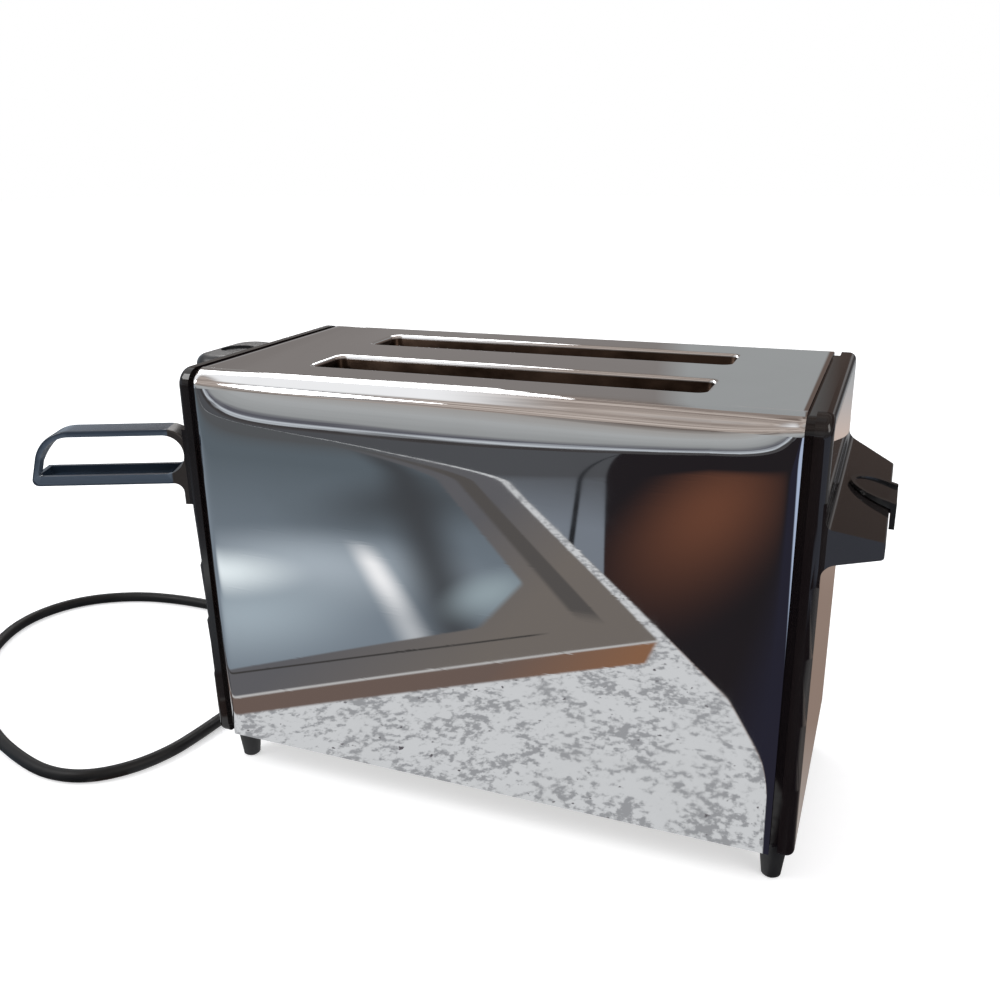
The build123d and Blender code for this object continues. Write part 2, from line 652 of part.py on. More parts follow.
def crumb_tray():
    """Hinged sheet tray that closes the pan's opening."""
    top = PAN_BOTTOM - PAN_FIT
    low = top - TRAY_THICKNESS
    half = TRAY_DEPTH / 2
    tray = block(*TRAY_ENDS, -half, half, low, top)
    rim_x = TRAY_LENGTH / 2 - TRAY_OVERLAP - 1
    rim_y = half - TRAY_OVERLAP - 1
    rim = extrude(Rectangle(2 * rim_x, 2 * rim_y), amount=TRAY_RIM)
    rim -= extrude(Rectangle(2 * (rim_x - TRAY_THICKNESS), 2 * (rim_y - TRAY_THICKNESS)), amount=TRAY_RIM)
    tray += Pos(SLOT_SHIFT, 0, top) * rim
    grip = TRAY_GRIP_WIDTH / 2
    tray += block(SLOT_SHIFT - grip, SLOT_SHIFT + grip, -half - TRAY_GRIP_REACH, -half, low, top)
    gap = TRAY_KNUCKLE_LENGTH + 4.5
    starts = (TRAY_ENDS[0] + gap, TRAY_ENDS[1] - gap - TRAY_KNUCKLE_LENGTH)
    knuckles, bore = hinge_knuckles(starts, low)
    for start in (TRAY_ENDS[0] + 4, TRAY_ENDS[1] - 4 - TRAY_KNUCKLE_LENGTH):
        end = start + TRAY_KNUCKLE_LENGTH
        notch_front = TRAY_PIN_Y - TRAY_KNUCKLE_RADIUS - 0.6
        tray -= block(start - 0.5, end + 0.25, notch_front, half + 1, low - 1, top + 1)
    arms = Part()
    for start in starts:
        arms += block(start, start + TRAY_KNUCKLE_LENGTH, half - 2, TRAY_PIN_Y + 1, low, top)
    return tray + ((knuckles + arms) - bore)


def tray_hinge_pin():
    left = (TRAY_ENDS[0] + 2, TRAY_PIN_Y, TRAY_PIN_Z)
    right = (TRAY_ENDS[1] - 2, TRAY_PIN_Y, TRAY_PIN_Z)
    return rod_between(left, right, TRAY_HINGE_RADIUS)


def bulkhead(x, outward):
    """Upright steel plate that carries the heaters, with slots for the bread racks."""
    x0, x1 = sorted((x, x + outward * BULKHEAD_THICKNESS))
    half = BULKHEAD_WIDTH / 2
    plate = block(x0, x1, -half, half, PAN_TOP, BULKHEAD_TOP)
    flange = sorted((x, x + outward * 8))
    plate += block(*flange, -half, half, PAN_TOP, PAN_TOP + BULKHEAD_THICKNESS)
    low = RACK_TOP - RACK_HEIGHT - CARRIAGE_TRAVEL - 2
    for slot_y in SLOT_YS:
        slot = (slot_y - RACK_SLOT_WIDTH / 2, slot_y + RACK_SLOT_WIDTH / 2)
        plate -= block(x0 - 1, x1 + 1, *slot, low, RACK_TOP + 2)
    return plate


def left_bulkhead():
    """Left plate, with a folded tab that holds the top of the guide rod."""
    plate = bulkhead(BULKHEAD_LEFT, -1)
    tab_half = ROD_TAB_WIDTH / 2
    plate += block(ROD_X - 2 * ROD_RADIUS, BULKHEAD_LEFT, -tab_half, tab_half, ROD_TOP - 2, ROD_TOP - 1)
    return plate - rod_between((ROD_X, 0, ROD_TOP - 4), (ROD_X, 0, ROD_TOP + 1), ROD_RADIUS + RUNNING_FIT)


RAIL_Z = STEM_Z + STEM_THICKNESS / 2
RAIL_EAR_Y = SLIDER_TRAVEL + STEM_WIDTH + 8


def right_bulkhead():
    """Right plate, with two folded ears that hold the slider's rail."""
    plate = bulkhead(BULKHEAD_RIGHT, 1)
    outer = BULKHEAD_RIGHT + BULKHEAD_THICKNESS
    for side in (-1, 1):
        ear = sorted((side * RAIL_EAR_Y, side * (RAIL_EAR_Y + 1.2)))
        plate += block(outer - 0.1, RAIL_X + 5, *ear, RAIL_Z - 6, RAIL_Z + 6)
    reach = RAIL_EAR_Y + 3
    return plate - rod_between((RAIL_X, -reach, RAIL_Z), (RAIL_X, reach, RAIL_Z), RAIL_RADIUS + RUNNING_FIT)


def slider_rail():
    reach = RAIL_EAR_Y + 2
    return rod_between((RAIL_X, -reach, RAIL_Z), (RAIL_X, reach, RAIL_Z), RAIL_RADIUS)


def slider_carrier():
    """Block that runs on the rail and takes the slider knob's stem."""
    half = STEM_WIDTH / 2 + 1
    carrier = block(RAIL_X - 5, RAIL_X + 5, -half, half, RAIL_Z - 5, RAIL_Z + 5)
    bore_start = (RAIL_X, -half - 1, RAIL_Z)
    bore_end = (RAIL_X, half + 1, RAIL_Z)
    return carrier - rod_between(bore_start, bore_end, RAIL_RADIUS + RUNNING_FIT)


def slider_knob():
    """Saddle over the ledge's outer edge: a dished tongue on top, a lip in front and a flat stem."""
    outer_x = SLIDER_FRONT_X
    inner_x = LEDGE_X - SLIDER_INSET + 2
    half = SLIDER_WIDTH / 2
    ledge_top = BODY_BOTTOM + LEDGE_TIP_TOP
    skin_gap = SLIDER_GAP * 1.2

    def surface(x, rise):
        return ledge_top + LEDGE_SLOPE * (LEDGE_X - x) + rise

    base_x = inner_x - SLIDER_DRAFT
    side = make_face(
        Polyline(
            (outer_x, surface(outer_x, SLIDER_RISE_OUTER)),
            (base_x, surface(base_x, SLIDER_RISE_INNER)),
            (base_x, surface(base_x, skin_gap)),
            (LEDGE_X + SLIDER_GAP, surface(LEDGE_X + SLIDER_GAP, skin_gap)),
            (LEDGE_X + SLIDER_GAP, ledge_top - SLIDER_LIP_DROP),
            (outer_x, ledge_top - SLIDER_LIP_DROP),
            close=True,
        )
    )
    saddle = along_y(side, -half - SLIDER_DRAFT, half + SLIDER_DRAFT)
    low_plan = Plane.XY.offset(ledge_top - SLIDER_LIP_DROP) * tongue_plan(inner_x, half, SLIDER_DRAFT)
    top_z = surface(base_x, SLIDER_RISE_OUTER)
    high_plan = Plane.XY.offset(top_z) * tongue_plan(inner_x, half, 0.0)
    saddle = saddle & loft([low_plan, high_plan])
    dish_plan = tongue_plan(inner_x + SLIDER_RIM, half - SLIDER_RIM, 0.0)
    clear = 4 * SLIDER_LIP_DROP
    dish = extrude(Plane.XY.offset(ledge_top - SLIDER_LIP_DROP) * dish_plan, amount=clear)
    floor_x = (outer_x + 1, inner_x - SLIDER_DRAFT)
    above = make_face(
        Polyline(
            (floor_x[0], surface(floor_x[0], SLIDER_RISE_OUTER - SLIDER_DISH)),
            (floor_x[1], surface(floor_x[1], SLIDER_RISE_INNER - SLIDER_DISH * 0.4)),
            (floor_x[1], surface(floor_x[1], clear)),
            (floor_x[0], surface(floor_x[0], clear)),
            close=True,
        )
    )
    saddle -= dish & along_y(above, -half, half)
    stem_start = RAIL_X + 5
    stem = block(stem_start, outer_x - 0.5, -STEM_WIDTH / 2, STEM_WIDTH / 2, STEM_Z, STEM_Z + STEM_THICKNESS)
    return saddle + stem


def tongue_plan(inner_x, half, grow):
    """Top view of the saddle: straight sides and a half-round inner end."""
    centre = inner_x + half
    reach = half + grow
    outer = SLIDER_FRONT_X
    arc = ThreePointArc((centre, -reach), (centre - reach, 0), (centre, reach))
    return make_face([arc, Polyline((centre, reach), (outer, reach), (outer, -reach), (centre, -reach))])


def heater_card(y):
    """Mica sheet between the bulkheads, with a stepped tab at each end."""
    card = block(
        BULKHEAD_LEFT,
        BULKHEAD_RIGHT,
        y - CARD_THICKNESS / 2,
        y + CARD_THICKNESS / 2,
        CARD_BOTTOM,
        CARD_TOP,
    )
    notch_top = CARD_TOP - 3 * CARD_TAB
    for end, inward in ((BULKHEAD_LEFT, 1), (BULKHEAD_RIGHT, -1)):
        notch = sorted((end, end + inward * CARD_TAB / 2))
        card -= block(*notch, y - 1, y + 1, CARD_BOTTOM + 3 * CARD_TAB, notch_top)
    return card


def heater_ribbon(y, facing):
    """Flat resistance ribbon run to and fro across one face of a card."""
    near = y + facing * CARD_THICKNESS / 2
    faces = sorted((near, near + facing * RIBBON_THICKNESS))
    left = BULKHEAD_LEFT + RIBBON_MARGIN
    right = BULKHEAD_RIGHT - RIBBON_MARGIN
    pitch = (CARD_TOP - CARD_BOTTOM - 2 * RIBBON_MARGIN) / (RIBBON_ROWS - 1)
    ribbon = Part()
    for row in range(RIBBON_ROWS):
        z = CARD_BOTTOM + RIBBON_MARGIN + row * pitch
        ribbon += block(left, right, *faces, z - RIBBON_WIDTH / 2, z + RIBBON_WIDTH / 2)
        if row < RIBBON_ROWS - 1:
            end = (right - RIBBON_WIDTH, right) if row % 2 == 0 else (left, left + RIBBON_WIDTH)
            ribbon += block(*end, *faces, z - RIBBON_WIDTH / 2, z + pitch + RIBBON_WIDTH / 2)
    return ribbon


def bread_guard(y):
    """Cage of upright wires beside a slot, welded to a top and a bottom rail."""
    guard = Part()
    for z in (GUARD_BOTTOM, GUARD_TOP):
        guard += rod_between((BULKHEAD_LEFT, y, z), (BULKHEAD_RIGHT, y, z), GUARD_WIRE_RADIUS, 8)
    pitch = SLOT_LENGTH / GUARD_WIRES
    for number in range(GUARD_WIRES):
        x = SLOT_SHIFT + (number - (GUARD_WIRES - 1) / 2) * pitch
        guard += rod_between((x, y, GUARD_BOTTOM), (x, y, GUARD_TOP), GUARD_WIRE_RADIUS * 0.9, 8)
    return guard


def guide_rod():
    return rod_between((ROD_X, 0, PAN_TOP), (ROD_X, 0, ROD_TOP), ROD_RADIUS)


def return_spring():
    """Open coil spring round the guide rod, between the pan and the carriage's bush."""
    height = BUSH_BOTTOM - PAN_TOP - 2 * SPRING_WIRE_RADIUS
    helix = Helix(pitch=height / SPRING_TURNS, height=height, radius=SPRING_RADIUS)
    section = Plane(origin=helix @ 0, z_dir=helix % 0) * RegularPolygon(SPRING_WIRE_RADIUS, 6)
    return Pos(ROD_X, 0, PAN_TOP + SPRING_WIRE_RADIUS) * sweep(section, path=helix, is_frenet=True)


def slide_bush():
    half = BUSH_WIDTH / 2
    outer = BRACKET_X - BRACKET_THICKNESS
    inner_reach = outer - ROD_X
    bush = block(ROD_X - inner_reach, outer, -half, half, BUSH_BOTTOM, BUSH_BOTTOM + BUSH_HEIGHT)
    bore_start = (ROD_X, 0, BUSH_BOTTOM - 1)
    bore_end = (ROD_X, 0, BUSH_BOTTOM + BUSH_HEIGHT + 1)
    bore = rod_between(bore_start, bore_end, ROD_RADIUS + RUNNING_FIT)
    return bush - bore


def carriage_bracket():
    """Cross plate that joins both bread racks to the bush."""
    half = BRACKET_WIDTH / 2
    bracket_top = BUSH_BOTTOM + BUSH_HEIGHT
    bracket = block(BRACKET_X - BRACKET_THICKNESS, BRACKET_X, -half, half, BRACKET_BOTTOM, bracket_top)
    return bracket - block(BRACKET_X - 3, BRACKET_X + 1, -half - 1, -half / 2, RACK_TOP + 4, bracket_top + 1)


def bread_rack(y):
    """Narrow lifting rack: an upright blade with cross fingers under the bread."""
    blade = (y - RACK_BLADE / 2, y + RACK_BLADE / 2)
    rack = block(BRACKET_X, BULKHEAD_RIGHT + 4, *blade, RACK_TOP - RACK_HEIGHT, RACK_TOP)
    pitch = SLOT_LENGTH / RACK_FINGERS
    for number in range(RACK_FINGERS):
        x = SLOT_SHIFT + (number - (RACK_FINGERS - 1) / 2) * pitch
        half = RACK_FINGER_WIDTH / 2
        finger = (x - RACK_FINGER_LENGTH / 2, x + RACK_FINGER_LENGTH / 2)
        rack += block(*finger, y - half, y + half, RACK_TOP - RACK_BLADE, RACK_TOP)
    return rack


ARM_OUTER_X = -END_X - KNOB_GAP - KNOB_LENGTH * 0.6


def lever_arm():
    """Cranked arm from the bush up and out through the left end to the knob."""
    inner = 2 * ROD_X - BRACKET_X + BRACKET_THICKNESS
    root_half = ARM_ROOT_WIDTH / 2
    upright = block(inner - ARM_THICKNESS, inner, -root_half, root_half, BUSH_BOTTOM, ARM_Z + ARM_HEIGHT)
    half = ARM_WIDTH / 2
    return upright + block(ARM_OUTER_X, inner, -half, half, ARM_Z, ARM_Z + ARM_HEIGHT)


def lever_knob():
    """Rounded paddle with a round thumb dish, pushed on to the arm."""
    top = BODY_TOP - KNOB_DROP
    centre_x = -END_X - KNOB_GAP - KNOB_LENGTH / 2
    plan = RectangleRounded(KNOB_LENGTH, KNOB_WIDTH, KNOB_CORNER)
    knob = Pos(centre_x, 0, top - KNOB_HEIGHT) * extrude(plan, amount=KNOB_HEIGHT)
    knob = fillet(knob.faces().sort_by(Axis.Z)[-1].edges(), KNOB_EDGE)
    knob = fillet(knob.faces().sort_by(Axis.Z)[0].edges(), KNOB_EDGE / 3)
    dish = extrude(Circle(KNOB_DISH_RADIUS), amount=KNOB_DISH_DEPTH + 1)
    knob -= Pos(centre_x, 0, top - KNOB_DISH_DEPTH) * dish
    half = ARM_WIDTH / 2 + RUNNING_FIT
    socket_low = ARM_Z - RUNNING_FIT
    socket_high = ARM_Z + ARM_HEIGHT + RUNNING_FIT
    return knob - block(ARM_OUTER_X - RUNNING_FIT, -END_X, -half, half, socket_low, socket_high)


def hold_magnet():
    """Electromagnet that holds the lowered carriage."""
    length, width, height = MAGNET_SIZE
    x1 = BRACKET_X - BRACKET_THICKNESS - 2
    near, far = MAGNET_OFFSET, MAGNET_OFFSET + width
    core = block(x1 - length, x1, near, far, PAN_TOP, PAN_TOP + height)
    wound = WINDING_THICKNESS
    low, high = PAN_TOP + WINDING_INSET, PAN_TOP + height - WINDING_INSET
    return core + block(x1 - length - wound, x1 + wound, near - wound, far + wound, low, high)


def armature():
    """Plate on the carriage that meets the magnet at the bottom of the travel."""
    length, width, height = MAGNET_SIZE
    low = PAN_TOP + height + MAGNET_GAP + CARRIAGE_TRAVEL
    x1 = BRACKET_X - BRACKET_THICKNESS
    near = MAGNET_OFFSET
    return block(x1 - length - 2, x1, near, near + width, low, low + ARMATURE_THICKNESS)


def timer_box():
    """Browning timer on the right bulkhead."""
    depth, width, height = TIMER_SIZE
    x0 = BULKHEAD_RIGHT + BULKHEAD_THICKNESS
    box = block(x0, x0 + depth, -width / 2, width / 2, TIMER_BOTTOM, TIMER_BOTTOM + height)
    return fillet(box.edges().filter_by(Axis.X), 2)


def terminal_block():
    length, width, height = TERMINAL_SIZE
    x0 = -HALF_LENGTH + SPIGOT_DEPTH + 2
    y0 = -HALF_DEPTH + TERMINAL_GAP * 2
    body = block(x0, x0 + length, y0, y0 + width, PAN_TOP, PAN_TOP + height)
    for number in range(2):
        y = y0 + width * (number + 0.5) / 2
        hole = Cylinder(TERMINAL_SCREW, 3 * TERMINAL_GAP)
        body -= Pos(x0 + length / 2, y, PAN_TOP + height - TERMINAL_GAP) * hole
    return body


def corner_point(point):
    """A point measured from the shell's left front corner, moved to the shell's middle."""
    x, y, z = point
    return Vector(x - HALF_LENGTH, y - HALF_DEPTH, z)


def coil_start():
    """Where the first turn begins, in line with the lead's last run."""
    return Vector(COIL_CENTRE_X, LEAD_ROUTE[-1][1], CORD_DIAMETER / 2)


def coil_ends():
    """The coil's two ends, each one cord diameter straight on from its turns."""
    run = Vector(CORD_DIAMETER, 0, 0)
    return corner_point(coil_start() - run), corner_point(coil_point(COIL_TURNS) + run)


def run_radii(points):
    """For each corner of a route, 0.45 of its shorter run over the tangent of half its turn."""
    radii = []
    for before, here, after in zip(points, points[1:], points[2:]):
        run_in, run_out = here - before, after - here
        turn = radians(run_in.get_angle(run_out))
        radii.append(0.45 * min(run_in.length, run_out.length) / tan(turn / 2))
    return radii


def cord_section(path):
    """Eight-sided section of the cord, square to the start of its path."""
    return Plane(origin=path @ 0, z_dir=path % 0) * RegularPolygon(CORD_DIAMETER / 2, 8)


def cord_tube(name, points):
    """Round cord along straight runs joined by tangent arcs."""
    radii = run_radii(points)
    path = FilletPolyline(*points, radius=radii)
    tube = sweep(cord_section(path), path=path)
    expected = cord_section(path).area * path.length
    print(name, "length", round(path.length), "least radius", round(min(radii), 1), end=" ")
    print("volume ratio", round(tube.volume / expected, 4))
    return tube


def coil_point(turns):
    """Point of the coil after some turns: in on the lower layer, out again on the upper one."""
    outer = COIL_MEAN_RADIUS + COIL_PITCH / 2
    inward = min(turns, COIL_TURNS - turns)
    radius = outer - COIL_PITCH * inward
    climb = min(max((turns - COIL_TURNS / 2 + 0.25) / 0.5, 0.0), 1.0)
    start = coil_start()
    angle = 2 * pi * turns - pi / 2
    height = start.Z + COIL_LAYER_RISE * climb * climb * (3 - 2 * climb)
    return Vector(start.X + radius * cos(angle), start.Y + outer + radius * sin(angle), height)


def coil_heading(turns):
    """Direction of the coil at a point, level and along the lead at both ends."""
    if turns in (0, COIL_TURNS):
        return Vector(1, 0, 0)
    step = 0.001
    return (coil_point(turns + step) - coil_point(turns - step)).normalized()


def biarc(start, heading, end, end_heading):
    """Two arcs that leave along one heading and arrive along the other."""
    chord = end - start
    total = heading + end_heading
    spread = 2 * (1 - heading.dot(end_heading))
    along = chord.dot(total)
    handle = (-along + sqrt(along * along + spread * chord.dot(chord))) / spread
    first, last = start + heading * handle, end - end_heading * handle
    middle = (first + last) * 0.5
    link = (last - first).normalized()
    return [Edge.make_tangent_arc(start, heading, middle), Edge.make_tangent_arc(middle, link, end)]


def coil_gap():
    """Least gap between the coil's turns, measured on points."""
    count = 48 * COIL_TURNS
    points = [coil_point(COIL_TURNS * number / count) for number in range(count + 1)]
    far = 12
    return min((a - b).length for i, a in enumerate(points) for b in points[i + far :]) - CORD_DIAMETER


def cord_coil():
    """The put-away length: two layers of turns that spiral in and out again."""
    first, last = coil_ends()
    edges = [Line(first, corner_point(coil_start()))]
    for number in range(4 * COIL_TURNS):
        a, b = number / 4, (number + 1) / 4
        ends = [corner_point(coil_point(turns)) for turns in (a, b)]
        edges += biarc(ends[0], coil_heading(a), ends[1], coil_heading(b))
    edges.append(Line(corner_point(coil_point(COIL_TURNS)), last))
    path = Wire(edges)
    print("cord_coil length", round(path.length), "least gap", round(coil_gap(), 2))
    return sweep(cord_section(path), path=path)


def cord_lead():
    points = [corner_point(point) for point in LEAD_ROUTE]
    return cord_tube("cord_lead", points + [coil_ends()[0]])


def cord_tail():
    points = [corner_point(point) for point in TAIL_ROUTE]
    return cord_tube("cord_tail", [coil_ends()[1]] + points)


def cord_gland():
    """Entry block under the pan with the tapered strain relief that the lead leaves by."""
    tip = corner_point(LEAD_ROUTE[0])
    heading = (corner_point(LEAD_ROUTE[1]) - tip).normalized()
    root = tip - heading * GLAND_LENGTH
    length, width = GLAND_BLOCK
    body = block(
        root.X - 1,
        root.X - 1 + length,
        root.Y - width / 2 + 2,
        root.Y + width / 2 + 2,
        root.Z - GLAND_ROOT_RADIUS - 1.5,
        PAN_BOTTOM,
    )
    body = fillet(body.edges().filter_by(Axis.Z), 2)
    start = root - heading * 0
    rings = [
        Plane(origin=start, z_dir=heading) * Circle(GLAND_ROOT_RADIUS),
        Plane(origin=tip, z_dir=heading) * Circle(GLAND_TIP_RADIUS),
    ]
    return body + loft(rings)


def plug_body():
    """Generic moulded two-blade plug with a tapered neck."""
    tip = corner_point(TAIL_ROUTE[-1])
    neck_end = tip + Vector(8, 0, 0)
    neck = loft(
        [
            Plane(origin=tip, z_dir=(1, 0, 0)) * Circle(CORD_DIAMETER / 2 + 0.8),
            Plane(origin=neck_end, z_dir=(1, 0, 0)) * Circle(CORD_DIAMETER / 2 + 1.8),
        ]
    )
    half = PLUG_WIDTH / 2
    plan = rounded_polygon(
        [(neck_end.X - 1, -PLUG_NECK_HALF), (neck_end.X + PLUG_SHOULDER, -half), (tip.X + PLUG_LENGTH, -half)]
        + [(tip.X + PLUG_LENGTH, half), (neck_end.X + PLUG_SHOULDER, half), (neck_end.X - 1, PLUG_NECK_HALF)],
        [2, 6, 2, 2, 6, 2],
    )
    body = Pos(0, tip.Y, 0) * extrude(plan, amount=PLUG_HEIGHT)
    body = chamfer(body.edges().group_by(Axis.Z)[-1] + body.edges().group_by(Axis.Z)[0], 1.6)
    return body + neck


def plug_blades():
    """The plug's two flat blades."""
    tip = corner_point(TAIL_ROUTE[-1])
    x0 = tip.X + PLUG_LENGTH
    blades = []
    for side in (-1, 1):
        y = tip.Y + side * BLADE_SPACING / 2
        z = PLUG_HEIGHT / 2
        half = BLADE_WIDTH / 2
        thick = BLADE_THICKNESS / 2
        blades.append(block(x0, x0 + BLADE_LENGTH, y - thick, y + thick, z - half, z + half))
    return Compound(blades)


def build_all():
    """Every node of the toaster by name, about the middle of the shell."""
    foot_x = HALF_LENGTH + FOOT_OUTSET
    foot_y = HALF_DEPTH - FOOT_INSET
    guard_y = SLOT_WIDTH / 2 + GUARD_OFFSET
    nodes = {
        "chrome_shell": chrome_shell(),
        "left_end_cap": left_end_cap() - screw_holes(),
        "right_end_cap": right_end_cap() - screw_holes(),
        "left_end_plate": left_end_plate(),
        "right_end_plate_upper": right_end_plate(True),
        "right_end_plate_lower": right_end_plate(False),
        "side_handle": side_handle(),
        "handle_screws": handle_screws(),
        "base_pan": base_pan(),
        "pan_screws": pan_screws(),
        "foot_front_left": foot(-foot_x, -foot_y),
        "foot_front_right": foot(foot_x, -foot_y),
        "foot_back_left": foot(-foot_x, foot_y),
        "foot_back_right": foot(foot_x, foot_y),
        "crumb_tray": crumb_tray(),
        "tray_hinge_pin": tray_hinge_pin(),
        "left_bulkhead": left_bulkhead(),
        "right_bulkhead": right_bulkhead(),
        "heater_card_front": heater_card(-CARD_SIDE_OFFSET),
        "heater_card_centre": heater_card(0),
        "heater_card_back": heater_card(CARD_SIDE_OFFSET),
        "heater_ribbon_front": heater_ribbon(-CARD_SIDE_OFFSET, 1),
        "heater_ribbon_centre_front": heater_ribbon(0, -1),
        "heater_ribbon_centre_back": heater_ribbon(0, 1),
        "heater_ribbon_back": heater_ribbon(CARD_SIDE_OFFSET, -1),
        "bread_guard_front_outer": bread_guard(SLOT_YS[0] - guard_y),
        "bread_guard_front_inner": bread_guard(SLOT_YS[0] + guard_y),
        "bread_guard_back_inner": bread_guard(SLOT_YS[1] - guard_y),
        "bread_guard_back_outer": bread_guard(SLOT_YS[1] + guard_y),
        "guide_rod": guide_rod(),
        "return_spring": return_spring(),
        "slide_bush": slide_bush(),
        "carriage_bracket": carriage_bracket(),
        "bread_rack_front": bread_rack(SLOT_YS[0]),
        "bread_rack_back": bread_rack(SLOT_YS[1]),
        "lever_arm": lever_arm(),
        "lever_knob": lever_knob(),
        "armature": armature(),
        "hold_magnet": hold_magnet(),
        "timer_box": timer_box(),
        "terminal_block": terminal_block(),
        "slider_rail": slider_rail(),
        "slider_carrier": slider_carrier(),
        "slider_knob": slider_knob(),
        "cord_gland": cord_gland(),
        "cord_lead": cord_lead(),
        "cord_coil": cord_coil(),
        "cord_tail": cord_tail(),
        "plug_body": plug_body(),
        "plug_blades": plug_blades(),
    }
    return nodes


os.makedirs("parts", exist_ok=True)
toaster = build_all()
handle_box = toaster["side_handle"].bounding_box()
body_box = toaster["right_end_cap"].bounding_box()
to_origin = Pos(-(handle_box.min.X + SLIDER_FRONT_X) / 2, -(handle_box.min.Y + body_box.max.Y) / 2, 0)
print("shell middle at", round(to_origin.position.X, 3), round(to_origin.position.Y, 3))
for name, shape in toaster.items():
    export_step(to_origin * shape, f"parts/{name}.step")
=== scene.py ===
import math

import bmesh
import bpy
from mathutils import Matrix, Vector


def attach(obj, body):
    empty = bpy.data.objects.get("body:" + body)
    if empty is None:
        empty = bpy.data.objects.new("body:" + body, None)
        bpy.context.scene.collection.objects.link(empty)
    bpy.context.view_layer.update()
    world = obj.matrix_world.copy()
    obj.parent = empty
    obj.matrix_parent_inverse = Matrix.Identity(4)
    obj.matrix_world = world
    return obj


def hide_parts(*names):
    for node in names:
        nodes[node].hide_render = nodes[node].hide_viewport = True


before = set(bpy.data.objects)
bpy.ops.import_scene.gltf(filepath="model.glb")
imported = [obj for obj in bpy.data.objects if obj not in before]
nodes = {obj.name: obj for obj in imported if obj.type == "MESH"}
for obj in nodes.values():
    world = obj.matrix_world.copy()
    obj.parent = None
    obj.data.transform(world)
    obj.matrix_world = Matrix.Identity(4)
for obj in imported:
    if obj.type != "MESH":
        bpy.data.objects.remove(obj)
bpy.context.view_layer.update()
scene = bpy.context.scene

# The shell's middle in the row frame, and the sizes that the dressed pieces share with the CAD, in metres
SHELL_X = 0.022758
SHELL_Y = 0.012449
HALF_LENGTH = 0.120
HALF_DEPTH = 0.06175
BODY_TOP = 0.1865
SLOT_X = SHELL_X + 0.0022
SLOT_LENGTH = 0.162
SLOT_OFFSET = 0.02605
SLOT_HALF = 0.0119
SLOT_ROOM = 0.0001
HANDLE_SPLAY = math.radians(23.0)
HANDLE_CORNER = (SHELL_X - 0.129, SHELL_Y - 0.06135)
HANDLE_ROOT = 0.0061
HANDLE_BLEND = 0.0002

# The fullness of the pressed sheet: its depth below the top, its rise, and how it ends left and right
SWELL_DEPTH = 0.036
SWELL_RISE = 0.0075
SWELL_POWER = 2.6
SWELL_THIN = 0.55
SWELL_THIN_FROM = SHELL_X - 0.03
SWELL_THIN_TO = SHELL_X + 0.09
END_POWER = 9.0
ROLL_POWER = 110.0
ROLL_RISE = 0.0005
SHOULDER_WIDTH = 0.0075
SHOULDER_LEAST = 0.2

# Depths from the shell's outside at which the painted shade, a brown-black tone, sets in on the slots'
# lips and inside
SLOT_SHADE_FROM = 0.0007
SLOT_SHADE_FULL = 0.0018
INSIDE_BELOW = 0.0055
INSIDE_BEHIND = 0.0017

# Camera at the photograph's place
SENSOR_WIDTH = 36.0
FOCAL_RATIO = 1.001438
CAMERA_PLACE = (0.14592 + SHELL_X, -0.38671 + SHELL_Y, 0.26708)
CAMERA_TURN = (-22.093, 19.02, 0.967)


def look(azimuth, pitch, roll):
    """Camera axes for a turn from the +Y axis, a look down and a roll, in degrees."""
    a, p, r = (math.radians(v) for v in (azimuth, pitch, roll))
    forward = Vector((math.sin(a) * math.cos(p), math.cos(a) * math.cos(p), -math.sin(p)))
    right = Vector((math.cos(a), -math.sin(a), 0.0))
    down = forward.cross(right)
    c, s = math.cos(r), math.sin(r)
    right, down = c * right + s * down, -s * right + c * down
    return Matrix((right, -down, -forward)).transposed().to_4x4()


camera_data = bpy.data.cameras.new("photo_camera")
camera_data.sensor_width = SENSOR_WIDTH
camera_data.lens = SENSOR_WIDTH * FOCAL_RATIO
camera_data.clip_start = 0.01
camera = bpy.data.objects.new("photo_camera", camera_data)
scene.collection.objects.link(camera)
camera.matrix_world = Matrix.Translation(CAMERA_PLACE) @ look(*CAMERA_TURN)
scene.camera = camera
scene.view_settings.view_transform = "Standard"


